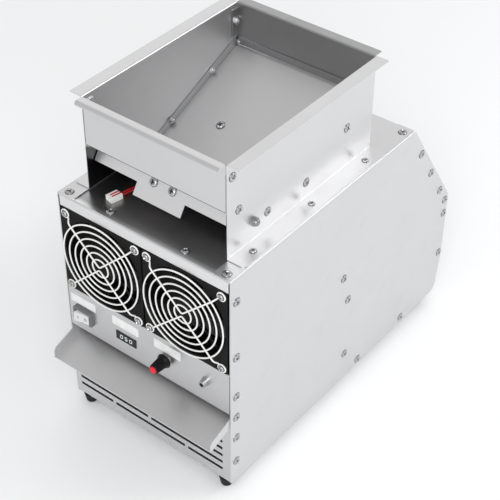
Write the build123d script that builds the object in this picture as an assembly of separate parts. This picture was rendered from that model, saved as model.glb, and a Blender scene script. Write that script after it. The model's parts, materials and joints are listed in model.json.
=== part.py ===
from build123d import *
import math
import os

# Desktop seed winnower: two fans blow across a falling curtain of seed.
# Millimetres. Facing the fans, +X is right, +Y is to the rear and +Z is up.

# Sheet metal
side_sheet = 1.5
sheet = 1.2
bend = 1.0
seat_gap = 0.3
screw_flats = 12
flange_width = 14.0

# Casing, seen from the side
body_height = 318.0
flat_depth = 354.0
body_depth = 459.5
slope_drop = 156.0
heel_height = 56.0
heel_setback = 8.0
heel_radius = 13.0
front_toe_radius = 4.0
top_flange = 24.5
tab_radius = 5.0
foot_height = 14.0
foot_radius = 9.5
foot_draft = 2.5
foot_side_inset = 14.0
foot_front_inset = 9.5
foot_rear_inset = 34.0

# Fans and the opening that they fill
fan_size = 120.0
fan_depth = 38.0
fan_gap = 2.5
fan_side_gap = 2.25
fan_face_y = -0.5
fan_rim = 2.5
fan_barrel_wall = 1.8
fan_corner = 5.0
fan_hole_inset = 7.5
fan_hole_radius = 2.2
fan_flange = 4.0
lip_height = 17.0
lip_relief = 1.2
hub_radius = 20.0
hub_depth = 21.0
hub_front_y = 3.0
motor_cup_radius = 21.0
motor_cup_depth = 10.0
strut_count = 4
strut_width = 4.0
strut_depth = 3.0
blade_count = 7
blade_tip_gap = 1.3
blade_thickness = 1.5
blade_camber = 3.2
blade_chord = 24.0
blade_root_pitch = 46.0
blade_tip_pitch = 30.0
fan_shaft_radius = 2.0
shaft_play = 0.05
channel_depth = 20.0
side_strip_depth = 14.0
side_strip_setback = 4.0

# Finger guards
wire = 2.0
guard_rings = 6
guard_first_ring = 12.0
guard_rim_gap = 0.5
guard_apex = 3.0
guard_stand_off = 4.5
guard_weld = 0.4
guard_eye_radius = 3.6
guard_shoulder = 4.2
guard_screw_radius = 1.9
guard_screw_head = 4.4
guard_screw_head_height = 2.2
guard_screw_length = 12.0

# Control box
panel_height = 63.0
box_depth = 78.0
panel_toe = 8.0
box_hem = 10.0
knob_below_top = 29.0
display_below_top = 35.5
switch_inset = 26.0
switch_width = 27.0
switch_height = 17.0
switch_bezel = 4.5
switch_bezel_rim = 1.5
switch_body_depth = 22.0
rocker_end_gap = 1.5
rocker_side_gap = 0.4
rocker_pivot = 1.6
rocker_reach = 9.6
rocker_dip = 1.2
rocker_back = 4.0
rocker_taper = 3.0
rocker_tilt = 9.0
rocker_pin_radius = 1.2
display_x = -32.0
display_width = 28.4
display_height = 9.6
display_rim = 1.4
display_proud = 0.8
display_body_depth = 12.0
knob_x = 31.0
knob_skirt_radius = 9.5
knob_skirt_height = 5.0
knob_radius = 7.4
knob_tip_radius = 6.2
knob_height = 19.0
knob_cap_radius = 5.2
knob_cap_height = 2.4
knob_lift = 2.6
pot_shaft_radius = 3.0
pot_bush_radius = 3.6
pot_bush_reach = 2.0
pot_nut_flats = 10.0
pot_nut_height = 1.6
pot_radius = 8.5
pot_depth = 9.0
socket_inset = 36.0
socket_hole = 4.1
socket_flange_radius = 6.0
socket_flange = 2.0
socket_barrel_radius = 4.8
socket_reach = 8.0
socket_mouth = 2.9
socket_mouth_depth = 3.0
socket_pin = 1.0
socket_length = 16.0
socket_nut_radius = 6.2
socket_nut_height = 2.5
board_thickness = 1.6
board_width = 96.0
board_length = 42.0
board_post_width = 5.0
board_post_height = 5.0
board_post_inset = 5.0

# Chutes, vents and the rear outlet
chute_angle = 18.5
chute_reach = 34.0
chute_lip_height = 86.7
chute_wing = 12.5
chute_wing_round = 9.0
divider_y = 223.5
divider_rise = 8.0
rear_sill_height = 72.0
rear_sill_hem = 10.0
rear_opening_height = 53.0
rail_flange = 12.0
vent_rows = 5
vent_pitch = 11.7
vent_first = 20.0
vent_height = 4.2
vent_gap = 5.0
vent_margin = 8.8
vent_shift = -2.0
vent_top_flange = 12.0
front_sill = 30.0

# Hopper
hopper_shoulder = 25.0
foot_margin = 2.0
hopper_setback = 25.5
hopper_length = 266.5
hopper_height = 124.0
foot_corner = 6.0
rim_width = 16.5
front_rim = 12.0
front_rim_drop = 5.0
front_rim_radius = 3.0
rear_rim = 12.0
front_wall_height = 62.0
floor_angle = 22.8
slope_angle = 33.2
slot_front_y = 117.5
slot_rear_y = 133.0
slot_rise = 2.4
floor_lip = 14.0
inner_flange = 10.0
wall_flange = 16.0
corner_clear = 2.0
mouth_front_y = 98.0
mouth_rear_y = 146.0
mouth_margin = 0.7
cover_joint_y = 150.0
hopper_screw_radius = 2.0
hopper_screw_head = 4.0
hopper_screw_head_height = 2.4
hopper_screw_length = 8.0
hopper_screw_inset = 12.5
hopper_screw_first = 28.0
hopper_screw_pitch = 105.5
hopper_screw_count = 3

# Feed gate and its rod
gate_sheet = 1.5
gate_side_play = 1.3
gate_front = 23.0
gate_flange = 12.0
gate_nose = 15.5
tab_width = 68.0
tab_length = 15.5
tab_corner = 1.5
gate_screw_pitch = 26.5
gate_screw_up = 7.5
gate_screw_radius = 1.9
gate_screw_head = 3.9
gate_screw_head_height = 2.2
gate_screw_length = 5.0
rod_y = 69.5
rod_radius = 3.0
rod_play = 0.05
nut_flats = 10.0
nut_skirt = 4.5
nut_crown_height = 3.5
rod_thread = 5.0

# Vibration motor under the hopper floor
motor_radius = 12.0
motor_length = 30.0
motor_x = -41.0
motor_screw_y = 188.0
motor_offset = 22.0
clamp_width = 14.0
clamp_play = 0.05
clamp_screw_radius = 1.9
clamp_screw_head = 3.9
clamp_screw_head_height = 2.2
clamp_screw_length = 6.0
motor_shaft_radius = 1.15
motor_shaft_length = 12.0
weight_radius = 9.0
weight_thickness = 7.0
weight_gap = 2.5
weight_boss_radius = 3.2

# Lead connector in front of the hopper
connector_x = -68.0
connector_y = 24.0
connector_length = 15.0
connector_width = 12.0
connector_height = 6.5
connector_wall = 1.2
connector_turn = 12.0
lead_radius = 0.9
lead_pitch = 3.6
lead_length = 42.0

# Widths, levels and lines that follow from the sizes above
body_width = 2 * (fan_size + fan_side_gap + side_sheet) + fan_gap
hopper_width = body_width - 2 * hopper_shoulder
hopper_foot = hopper_shoulder - foot_margin
switch_x = switch_inset - body_width / 2
socket_x = body_width / 2 - socket_inset
base_z = foot_height
top_z = base_z + body_height
skin_z = top_z - side_sheet
inner_half = body_width / 2 - side_sheet
panel_half = inner_half - seat_gap / 2
lip_z = top_z - lip_height
fan_top_z = lip_z - seat_gap
fan_z = fan_top_z - fan_size / 2
shelf_z = fan_top_z - fan_size - seat_gap
panel_bottom_z = shelf_z - panel_height
knob_z = shelf_z - knob_below_top
display_z = shelf_z - display_below_top
slope_foot_z = top_z - slope_drop
hopper_half = hopper_width / 2
hopper_inner = hopper_half - sheet
hopper_fit = hopper_inner - seat_gap
hopper_back = hopper_setback + hopper_length
wall_y = hopper_setback + sheet
rim_z = top_z + hopper_height
slot_z = top_z + slot_rise
fan_xs = ((fan_size + fan_gap) / -2, (fan_size + fan_gap) / 2)
fan_bore = fan_size / 2 - fan_rim
fan_hole_x = fan_size / 2 - fan_hole_inset
fan_holes = [(x, z) for x in (-fan_hole_x, fan_hole_x) for z in (-fan_hole_x, fan_hole_x)]
guard_ring_step = (fan_bore - guard_rim_gap - guard_first_ring) / (guard_rings - 1)
chute_z = base_z + chute_lip_height
sides = (-1, 1)
centre_y = (body_depth - chute_reach) / 2

os.makedirs("parts", exist_ok=True)


def save(shape, name):
    """Write one piece, or a group of like pieces, with the origin under the machine's centre."""
    export_step(Pos(0, -centre_y, 0) * shape, f"parts/{name}.step")


def rise(y, y0, z0, angle):
    """Height at y of the line through (y0, z0) that climbs by angle towards the rear."""
    return z0 + (y - y0) * math.tan(math.radians(angle))


def folded_section(path, thickness, inside):
    """Section of a folded sheet that lies on the left of its path, with round bends."""
    points = [Vector(*p) for p in path]
    runs = [(b - a).normalized() for a, b in zip(points, points[1:])]
    normals = [Vector(-run.Y, run.X) for run in runs]
    bends = inside if isinstance(inside, (list, tuple)) else [inside] * (len(points) - 2)
    far = [points[0] + normals[0] * thickness]
    near_radii = [0.0]
    far_radii = [0.0]
    for i in range(1, len(points) - 1):
        before = normals[i - 1]
        after = normals[i]
        far.append(points[i] + (before + after) * (thickness / (1 + before.dot(after))))
        turns_left = runs[i - 1].cross(runs[i]).Z > 0
        inner = bends[i - 1]
        outer = inner + thickness
        near_radii.append(outer if turns_left else inner)
        far_radii.append(inner if turns_left else outer)
    far.append(points[-1] + normals[-1] * thickness)
    near_radii.append(0.0)
    far_radii.append(0.0)
    radii = near_radii + far_radii[::-1]
    return make_face(FilletPolyline(*points, *far[::-1], radius=radii, close=True))


def cross_panel(path, half_width, thickness=sheet, inside=bend):
    """A folded sheet that spans the machine from side to side."""
    return extrude(Plane.YZ * folded_section(path, thickness, inside), amount=half_width, both=True)


def cheek(points, outer_x, thickness=sheet, rounds=()):
    """A pair of flat side flanges with outer faces at outer_x, from one YZ outline."""
    outline = make_face(Polyline(*points, close=True))
    for corner, radius in rounds:
        spot = Vector(*points[corner])
        near = outline.vertices().sort_by_distance(spot)[0]
        outline = fillet(near, radius)
    right = Pos(outer_x - thickness, 0, 0) * extrude(Plane.YZ * outline, amount=thickness)
    return right + mirror(right, about=Plane.YZ)


def bar_y(radius, y_low, y_high, x, z):
    """A round bar along Y."""
    return Pos(x, (y_low + y_high) / 2, z) * Rot(90, 0, 0) * Cylinder(radius, y_high - y_low)


def bar_x(radius, x_low, x_high, y, z):
    """A round bar along X."""
    return Pos((x_low + x_high) / 2, y, z) * Rot(0, 90, 0) * Cylinder(radius, x_high - x_low)


def bar_z(radius, z_low, z_high, x, y):
    """A round bar along Z."""
    return Pos(x, y, (z_low + z_high) / 2) * Cylinder(radius, z_high - z_low)


def block(x_low, x_high, y_low, y_high, z_low, z_high):
    """A box between two corners."""
    size = (x_high - x_low, y_high - y_low, z_high - z_low)
    return Pos(x_low, y_low, z_low) * Box(*size, align=(Align.MIN,) * 3)


def screw_hole(radius, depth):
    """A hole through the origin along Z, drawn with as many flats as its screw."""
    return extrude(RegularPolygon(radius, screw_flats), depth / 2, both=True)


def pan_screw(radius, head_radius, head_height, length):
    """A screw that points down from the origin: a tapered head above, a plain shank below."""
    head = extrude(RegularPolygon(head_radius, screw_flats), head_height, taper=30)
    return head + extrude(RegularPolygon(radius, screw_flats), -length)


# Side plates: one sheet each, the top edge turned inwards, the heel cut back
side_outline = [
    (0, base_z),
    (0, top_z),
    (flat_depth, top_z),
    (body_depth, slope_foot_z),
    (body_depth, base_z + heel_height),
    (body_depth - heel_setback, base_z),
]
side_face = make_face(Polyline(*side_outline, close=True))
side_corners = side_face.vertices()
side_face = fillet(side_corners.sort_by_distance(Vector(*side_outline[-1]))[0], heel_radius)
side_face = fillet(side_face.vertices().sort_by_distance(Vector(*side_outline[0]))[0], front_toe_radius)
side_web = Pos(inner_half, 0, 0) * extrude(Plane.YZ * side_face, amount=side_sheet)
flange_x = body_width / 2 - top_flange
side_flange = block(flange_x, body_width / 2, 0, flat_depth, skin_z, top_z)
inner_front = side_flange.edges().filter_by(Axis.Z).sort_by_distance(Vector(flange_x, 0, top_z))[0]
side_flange = fillet(inner_front, tab_radius)
right_side = side_web + side_flange
top_edge = right_side.edges().filter_by(Axis.Y).sort_by_distance(
    Vector(body_width / 2, flat_depth / 2, top_z)
)[0]
right_side = fillet(top_edge, side_sheet)
screw_x = body_width / 2 - hopper_screw_inset
screw_ys = [hopper_setback + hopper_screw_first + i * hopper_screw_pitch for i in range(hopper_screw_count)]
screw_spots = [(side * screw_x, y) for side in sides for y in screw_ys]
foot_hole = screw_hole(hopper_screw_radius + shaft_play, 8 * sheet)
hopper_holes = [Pos(x, y, skin_z) * foot_hole for x, y in screw_spots]
right_side -= hopper_holes
save(right_side, "right_side_plate")
save(mirror(right_side, about=Plane.YZ), "left_side_plate")

# Front top sheet: runs under the side flanges, folds down over the fans as a lip
mouth_half = hopper_inner + mouth_margin
top_path = [(cover_joint_y, skin_z), (0, skin_z), (0, lip_z)]
top_plate = cross_panel(top_path, panel_half)
lip_end = block(panel_half - lip_relief, panel_half, -1, sheet + bend, lip_z, skin_z - sheet - bend)
top_plate -= lip_end + mirror(lip_end, about=Plane.YZ)
top_plate -= block(-mouth_half, mouth_half, mouth_front_y, mouth_rear_y, lip_z, top_z)
top_plate -= hopper_holes
save(top_plate, "top_plate")

# Rear cover: flat under the hopper, then down the slope, with screwed cheeks
slope_run = body_depth - flat_depth
fall = math.atan2(slope_drop, slope_run)
crest_y = flat_depth + side_sheet * slope_run / slope_drop
cover_path = [(body_depth, slope_foot_z), (crest_y, skin_z), (cover_joint_y + seat_gap, skin_z)]
rear_cover = cross_panel(cover_path, panel_half)
inward = Vector(-math.sin(fall), -math.cos(fall))
cheek_top = Vector(crest_y, skin_z) + Vector(math.cos(fall), -math.sin(fall)) * flange_width
cheek_foot = Vector(body_depth, slope_foot_z) - Vector(math.cos(fall), -math.sin(fall)) * flange_width
cover_cheek = [
    (cheek_top.X, cheek_top.Y),
    (cheek_foot.X, cheek_foot.Y),
    (cheek_foot.X + inward.X * flange_width, cheek_foot.Y + inward.Y * flange_width),
    (cheek_top.X + inward.X * flange_width, cheek_top.Y + inward.Y * flange_width),
]
rear_cover += cheek(cover_cheek, panel_half)
rear_cover -= hopper_holes
save(rear_cover, "rear_cover")

# Rear rail above the outlet: a flange at its foot and a cheek at each end
rail_top_z = slope_foot_z - sheet * math.cos(fall) - seat_gap
opening_top_z = base_z + rear_sill_height + rear_opening_height
rail_path = [
    (body_depth - rail_flange, opening_top_z),
    (body_depth, opening_top_z),
    (body_depth, rail_top_z),
]
rear_rail = cross_panel(rail_path, panel_half)
rear_rail += cheek(
    [
        (body_depth - sheet / 2, opening_top_z + sheet / 2),
        (body_depth - sheet / 2, rail_top_z),
        (body_depth - flange_width, rail_top_z),
        (body_depth - flange_width, opening_top_z + sheet / 2),
    ],
    panel_half,
)
save(rear_rail, "rear_rail")

# Base tray: floor of the machine, turned up at the heel as the sill of the rear outlet
sill_z = base_z + rear_sill_height
tray_front_y = front_sill + seat_gap
tray_path = [
    (tray_front_y, base_z),
    (body_depth - heel_setback, base_z),
    (body_depth, base_z + heel_height),
    (body_depth, sill_z),
    (body_depth - rear_sill_hem, sill_z),
]
base_tray = cross_panel(tray_path, panel_half, inside=[heel_radius - sheet, bend, bend])
tray_floor_end = body_depth - heel_setback - heel_radius
divider_back_y = divider_y + flange_width
for low, high in ((tray_front_y, divider_y - seat_gap), (divider_back_y + seat_gap, tray_floor_end)):
    base_tray += cheek(
        [
            (low, base_z + sheet / 2),
            (high, base_z + sheet / 2),
            (high, base_z + flange_width),
            (low, base_z + flange_width),
        ],
        panel_half,
    )
base_tray += cheek(
    [
        (body_depth - sheet / 2, base_z + heel_height),
        (body_depth - sheet / 2, sill_z - sheet / 2),
        (body_depth - flange_width, sill_z - sheet / 2),
        (body_depth - flange_width, base_z + heel_height),
    ],
    panel_half,
)
save(base_tray, "base_tray")

# Heavy-grain chute: slides seed forwards under the control box and out in front
chute_back_y = divider_y - seat_gap - sheet * math.sin(math.radians(chute_angle))
chute_back_z = rise(chute_back_y, -chute_reach, chute_z, chute_angle)
chute_drop = sheet / math.cos(math.radians(chute_angle))
grain_chute = cross_panel([(chute_back_y, chute_back_z), (-chute_reach, chute_z)], panel_half)
wing_outline = [
    (-chute_reach, chute_z - chute_drop),
    (chute_back_y, chute_back_z - chute_drop),
    (chute_back_y, chute_back_z + chute_wing),
    (-chute_reach, chute_z + chute_wing),
]
grain_chute += cheek(wing_outline, panel_half, rounds=[(3, chute_wing_round)])
save(grain_chute, "grain_chute")

# Divider: stands on the tray behind the chute and parts heavy grain from light
divider_top_z = chute_back_z + divider_rise
divider_path = [(divider_y, divider_top_z), (divider_y, base_z + sheet)]
divider_plate = cross_panel(divider_path, panel_half)
divider_plate += cheek(
    [
        (divider_y + sheet / 2, base_z + sheet),
        (divider_back_y, base_z + sheet),
        (divider_back_y, divider_top_z - flange_width),
        (divider_y + sheet / 2, divider_top_z - flange_width),
    ],
    panel_half,
)
save(divider_plate, "divider_plate")

# Vented front panel: rows of long slots in brick bond, sill below for the front feet
vent_top_z = rise(0, -chute_reach, chute_z, chute_angle) - chute_drop - seat_gap - sheet / 2
vent_path = [(vent_top_flange, vent_top_z), (0, vent_top_z), (0, base_z), (front_sill, base_z)]
vent_panel = cross_panel(vent_path, panel_half, inside=[bend, front_toe_radius])
vent_panel += cheek(
    [
        (sheet / 2, base_z + front_toe_radius + sheet),
        (flange_width, base_z + front_toe_radius + sheet),
        (flange_width, vent_top_z - sheet / 2),
        (sheet / 2, vent_top_z - sheet / 2),
    ],
    panel_half,
)
vent_half = panel_half - vent_margin
vent_length = vent_half - vent_gap / 2
for row in range(vent_rows):
    z = base_z + vent_first + row * vent_pitch
    start = -vent_half if row % 2 else -vent_half - (vent_length + vent_gap) / 2
    while start < vent_half - vent_gap:
        low = max(start, -vent_half)
        high = min(start + vent_length, vent_half)
        slot = Pos((low + high) / 2 + vent_shift, z) * Rectangle(high - low, vent_height)
        vent_panel -= extrude(Plane.XZ * slot, amount=2 * sheet, both=True)
        start += vent_length + vent_gap
save(vent_panel, "vent_panel")

# Control panel: its top folds back as the shelf under the fans
panel_path = [(box_depth, shelf_z), (0, shelf_z), (0, panel_bottom_z), (panel_toe, panel_bottom_z)]
control_panel = cross_panel(panel_path, panel_half)
control_panel += cheek(
    [
        (sheet / 2, panel_bottom_z + sheet / 2),
        (flange_width, panel_bottom_z + sheet / 2 + flange_width - panel_toe),
        (flange_width, shelf_z - sheet / 2),
        (sheet / 2, shelf_z - sheet / 2),
    ],
    panel_half,
)
switch_half = (switch_width / 2, switch_height / 2)
display_half = (display_width / 2, display_height / 2)
for x, half in ((switch_x, switch_half), (display_x, display_half)):
    control_panel -= block(
        x - half[0], x + half[0], -1, 2 * sheet, display_z - half[1], display_z + half[1]
    )
control_panel -= bar_y(pot_bush_radius + shaft_play, -1, 2 * sheet, knob_x, knob_z)
control_panel -= bar_y(socket_hole + shaft_play, -1, 2 * sheet, socket_x, knob_z)
save(control_panel, "control_panel")

# Control box tray: closes the box from below, parallel to the chute
tray_half = panel_half - sheet - seat_gap
box_floor_z = panel_bottom_z + sheet + seat_gap
box_front_y = sheet + bend + seat_gap
box_corner_z = rise(box_depth, box_front_y, box_floor_z, chute_angle)
box_path = [
    (box_front_y, box_floor_z),
    (box_depth, box_corner_z),
    (box_depth, shelf_z - sheet),
    (box_depth - box_hem, shelf_z - sheet),
]
save(cross_panel(box_path, tray_half), "control_box_tray")

# Channel under the front top sheet that holds the fans down at their tops
channel_z = skin_z - 2 * sheet
channel_path = [(box_front_y, channel_z), (channel_depth, channel_z), (channel_depth, fan_top_z + seat_gap)]
save(cross_panel(channel_path, panel_half - flange_width), "fan_top_channel")

# Packing strips between the fans and the side plates
fan_outer_x = fan_xs[1] + fan_size / 2
strip = block(
    fan_outer_x + seat_gap,
    inner_half,
    side_strip_setback,
    side_strip_setback + side_strip_depth,
    shelf_z + side_strip_setback,
    fan_top_z - side_strip_setback,
)
save(strip + mirror(strip, about=Plane.YZ), "fan_side_strips")

# Fan frame: two square flanges on a round barrel, motor cup on struts at the back
fan_back_y = fan_face_y + fan_depth
cup_front_y = fan_back_y - motor_cup_depth
flange_face = fillet(Rectangle(fan_size, fan_size).vertices(), fan_corner)
flange_face -= [Pos(x, z) * RegularPolygon(fan_hole_radius, screw_flats) for x, z in fan_holes]
barrel = Cylinder(fan_size / 2 - seat_gap, fan_depth)
barrel_inner = Cylinder(fan_bore, fan_depth + 2)
fan_ends = Pos(0, 0, -fan_depth / 2) * extrude(flange_face, amount=fan_flange)
fan_ends += Pos(0, 0, fan_depth / 2 - fan_flange) * extrude(flange_face, amount=fan_flange)
frame_shell = barrel + fan_ends - barrel_inner
waist = Cylinder(fan_size, fan_depth - 2 * fan_flange) - Cylinder(fan_bore + fan_barrel_wall, fan_depth)
frame_shell -= waist
fan_body = Pos(0, fan_face_y + fan_depth / 2, 0) * Rot(90, 0, 0) * frame_shell
cup = bar_y(motor_cup_radius, cup_front_y, fan_back_y, 0, 0)
strut_reach = fan_bore + fan_barrel_wall / 2
strut = block(0, strut_reach, fan_back_y - strut_depth, fan_back_y, -strut_width / 2, strut_width / 2)
for i in range(strut_count):
    cup += Rot(0, 360 / strut_count * (i + 0.5), 0) * strut
cup -= bar_y(fan_shaft_radius + shaft_play, cup_front_y - 1, fan_back_y - strut_depth, 0, 0)
fan_body += cup


# Impeller: hub with a shaft, and twisted blades lofted from root to tip
def blade_section(radius, pitch):
    """Crescent section of a blade at a radius from the shaft, set at its pitch."""
    half = blade_chord / 2
    back = ThreePointArc((-half, 0), (0, blade_camber), (half, 0))
    face = ThreePointArc((half, 0), (0, blade_camber - blade_thickness), (-half, 0))
    plane = Plane(origin=(radius, 0, 0), x_dir=(0, 0, 1), z_dir=(1, 0, 0))
    return plane * (Rot(0, 0, pitch) * make_face(back + face))


hub_back_y = hub_front_y + hub_depth
blade_mid_y = hub_front_y + hub_depth / 2
tip_radius = fan_bore - blade_tip_gap
root_radius = hub_radius - 2
blade = loft([blade_section(root_radius, blade_root_pitch), blade_section(fan_bore, blade_tip_pitch)])
blade = Pos(0, blade_mid_y, 0) * blade
blade &= bar_y(tip_radius, hub_front_y - hub_depth, hub_back_y + hub_depth, 0, 0)
impeller = bar_y(hub_radius, hub_front_y, hub_back_y, 0, 0)
impeller = chamfer(impeller.faces().sort_by(Axis.Y)[0].edges(), bend)
for i in range(blade_count):
    impeller += Rot(0, 360 / blade_count * i, 0) * blade
impeller += bar_y(fan_shaft_radius, hub_back_y - 1, fan_back_y - strut_depth - 1, 0, 0)


# Finger guard: concentric rings welded behind two V-shaped wires whose legs end in eyes
eye_y = fan_face_y - wire
spoke_y = eye_y - guard_stand_off
leg_rise = fan_hole_x - guard_apex
leg_reach = math.hypot(fan_hole_x, leg_rise)
leg_bend = fan_bore + guard_shoulder
leg_path = [
    (0, spoke_y),
    (leg_bend, spoke_y),
    (leg_bend + guard_stand_off, eye_y),
    (leg_reach, eye_y),
]
leg = extrude(folded_section(leg_path, wire, bend), amount=wire / 2, both=True)
leg = Pos(0, 0, guard_apex) * Rot(0, -math.degrees(math.atan2(leg_rise, fan_hole_x)), 0) * leg
guard = leg + mirror(leg, about=Plane.YZ)
guard += bar_y(wire / 2, spoke_y, spoke_y + wire, 0, guard_apex)
guard += mirror(guard, about=Plane.XY)
ring_y = spoke_y + wire - guard_weld
for i in range(guard_rings):
    radius = guard_first_ring + i * guard_ring_step
    ring = Circle(radius + wire / 2) - Circle(radius - wire / 2)
    guard += Pos(0, ring_y + wire, 0) * extrude(Plane.XZ * ring, amount=wire)
for x, z in fan_holes:
    eye_place = Pos(x, eye_y + wire / 2, z) * Rot(90, 0, 0)
    guard += eye_place * screw_hole(guard_eye_radius + wire, wire)
    guard -= eye_place * screw_hole(guard_eye_radius, 2 * wire)
guard_screw = Rot(90, 0, 0) * pan_screw(
    guard_screw_radius, guard_screw_head, guard_screw_head_height, guard_screw_length
)
guard_screws = []
for side, x in zip(("left", "right"), fan_xs):
    place = Pos(x, 0, fan_z)
    save(place * fan_body, f"fan_frame_{side}")
    save(place * impeller, f"fan_impeller_{side}")
    save(place * guard, f"finger_guard_{side}")
    guard_screws += [Pos(x + dx, eye_y, fan_z + dz) * guard_screw for dx, dz in fan_holes]
save(Compound(guard_screws), "guard_screws")

# Rocker switch: clipped into the panel, with a rocker that turns on a stub pin
bezel_w = switch_half[0] + switch_bezel_rim
bezel_h = switch_half[1] + switch_bezel_rim
switch_body = block(
    switch_x - bezel_w, switch_x + bezel_w, -switch_bezel, 0, display_z - bezel_h, display_z + bezel_h
)
switch_body = fillet(switch_body.edges().filter_by(Axis.Y), 2)
switch_fit = (switch_half[0] - seat_gap / 2, switch_half[1] - seat_gap / 2)
switch_body += block(
    switch_x - switch_fit[0],
    switch_x + switch_fit[0],
    0,
    switch_body_depth,
    display_z - switch_fit[1],
    display_z + switch_fit[1],
)
well_half = (switch_half[0] - switch_bezel_rim, switch_half[1] - switch_bezel_rim)
well_depth = switch_body_depth / 2
switch_body -= block(
    switch_x - well_half[0],
    switch_x + well_half[0],
    -switch_bezel - 1,
    well_depth,
    display_z - well_half[1],
    display_z + well_half[1],
)
pin_reach = switch_half[1] - seat_gap / 2
rocker_pin = bar_z(rocker_pin_radius, display_z - pin_reach, display_z + pin_reach, switch_x, rocker_pivot)
pin_hole = bar_z(
    rocker_pin_radius + shaft_play,
    display_z - switch_height,
    display_z + switch_height,
    switch_x,
    rocker_pivot,
)
save(switch_body - pin_hole, "rocker_switch_body")
rocker_half = well_half[0] - rocker_end_gap
rocker_outline = make_face(
    Polyline(
        (-rocker_half, -rocker_reach),
        (0, rocker_dip - rocker_reach),
        (rocker_half, -rocker_reach),
        (rocker_half - rocker_taper, rocker_back),
        (rocker_taper - rocker_half, rocker_back),
        close=True,
    )
)
rocker = extrude(Rot(0, 0, rocker_tilt) * rocker_outline, amount=well_half[1] - rocker_side_gap, both=True)
rocker = Pos(switch_x, rocker_pivot, display_z) * rocker + rocker_pin
save(rocker, "switch_rocker")

# Three-digit display: a housing through the panel with a recessed window
display_out = (display_half[0] + display_rim, display_half[1] + display_rim)
display_fit = (display_half[0] - seat_gap / 2, display_half[1] - seat_gap / 2)
display = block(
    display_x - display_out[0],
    display_x + display_out[0],
    -display_proud,
    0,
    display_z - display_out[1],
    display_z + display_out[1],
)
display += block(
    display_x - display_fit[0],
    display_x + display_fit[0],
    0,
    display_body_depth,
    display_z - display_fit[1],
    display_z + display_fit[1],
)
window = (display_half[0] - display_rim, display_half[1] - display_rim)
display_window = block(
    display_x - window[0],
    display_x + window[0],
    -display_proud,
    display_proud,
    display_z - window[1],
    display_z + window[1],
)
save(display - display_window, "speed_display")
save(display_window, "display_window")

# Speed control: potentiometer behind the panel, its nut, the knob and its cap
bush_front_y = -pot_bush_reach - pot_nut_height
pot = bar_y(pot_radius, sheet, sheet + pot_depth, knob_x, knob_z)
pot += bar_y(pot_bush_radius, bush_front_y, sheet, knob_x, knob_z)
knob_back_y = bush_front_y - knob_lift + pot_bush_reach
shaft_front_y = knob_back_y - knob_height / 2
pot -= bar_y(pot_shaft_radius + shaft_play, bush_front_y - 1, sheet + pot_depth / 2, knob_x, knob_z)
save(pot, "speed_potentiometer")
pot_nut = Rot(90, 0, 0) * extrude(RegularPolygon(pot_nut_flats / 2, 6, major_radius=False), pot_nut_height)
pot_nut = Pos(knob_x, 0, knob_z) * pot_nut
pot_nut -= bar_y(pot_bush_radius + shaft_play, -pot_nut_height - 1, 1, knob_x, knob_z)
save(pot_nut, "potentiometer_nut")
knob_outline = make_face(
    Polyline(
        (0, 0),
        (knob_skirt_radius, 0),
        (knob_skirt_radius - 0.6, knob_skirt_height),
        (knob_radius, knob_skirt_height + 0.8),
        (knob_tip_radius, knob_height),
        (0, knob_height),
        close=True,
    )
)
knob_place = Pos(knob_x, knob_back_y, knob_z) * Rot(90, 0, 0)
knob = knob_place * revolve(Plane.XZ * knob_outline, Axis.Z)
shaft_bore_y = shaft_front_y - seat_gap
knob -= bar_y(pot_shaft_radius + shaft_play, shaft_bore_y, knob_back_y + 1, knob_x, knob_z)
save(knob, "speed_knob")
shaft_back_y = sheet + pot_depth / 2 - seat_gap
save(bar_y(pot_shaft_radius, shaft_front_y, shaft_back_y, knob_x, knob_z), "potentiometer_shaft")
knob_cap = Cylinder(knob_cap_radius, knob_cap_height, align=(Align.CENTER, Align.CENTER, Align.MIN))
knob_cap = chamfer(knob_cap.edges().sort_by(Axis.Z)[-1], knob_cap_height / 2)
save(knob_place * (Pos(0, 0, knob_height) * knob_cap), "knob_cap")

# Power socket: round barrel with a centre pin, held by a ring nut behind the panel
socket = bar_y(socket_flange_radius, -socket_flange, 0, socket_x, knob_z)
socket += bar_y(socket_hole, 0, socket_length, socket_x, knob_z)
socket += bar_y(socket_barrel_radius, -socket_reach, 0, socket_x, knob_z)
socket -= bar_y(socket_mouth, -socket_reach - 1, socket_mouth_depth, socket_x, knob_z)
socket += bar_y(socket_pin, 1 - socket_reach, socket_mouth_depth + 1, socket_x, knob_z)
save(socket, "power_socket")
socket_nut = bar_y(socket_nut_radius, sheet, sheet + socket_nut_height, socket_x, knob_z)
socket_nut -= bar_y(socket_hole + shaft_play, 0, sheet + socket_nut_height + 1, socket_x, knob_z)
save(socket_nut, "socket_nut")

# Speed control board: hangs on four posts under the shelf, inside the box
board_y = box_depth - box_hem - board_length - board_post_inset
board_z = shelf_z - sheet - board_post_height
board = block(
    -board_width / 2, board_width / 2, board_y, board_y + board_length, board_z - board_thickness, board_z
)
post = Box(board_post_width, board_post_width, board_post_height, align=(Align.CENTER,) * 2 + (Align.MIN,))
for x in (-board_width / 2 + board_post_inset, board_width / 2 - board_post_inset):
    for y in (board_y + board_post_inset, board_y + board_length - board_post_inset):
        board += Pos(x, y, board_z) * post
save(board, "control_board")

# Rubber feet: two under the front sill, two under the tray
foot_x = body_width / 2 - foot_side_inset
foot_ys = {"front": foot_front_inset, "rear": body_depth - foot_rear_inset}
foot = Cone(
    foot_radius - foot_draft, foot_radius, foot_height, align=(Align.CENTER, Align.CENTER, Align.MIN)
)
for end, y in foot_ys.items():
    for side, x in (("left", -foot_x), ("right", foot_x)):
        save(Pos(x, y, 0) * foot, f"foot_{end}_{side}")

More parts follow.
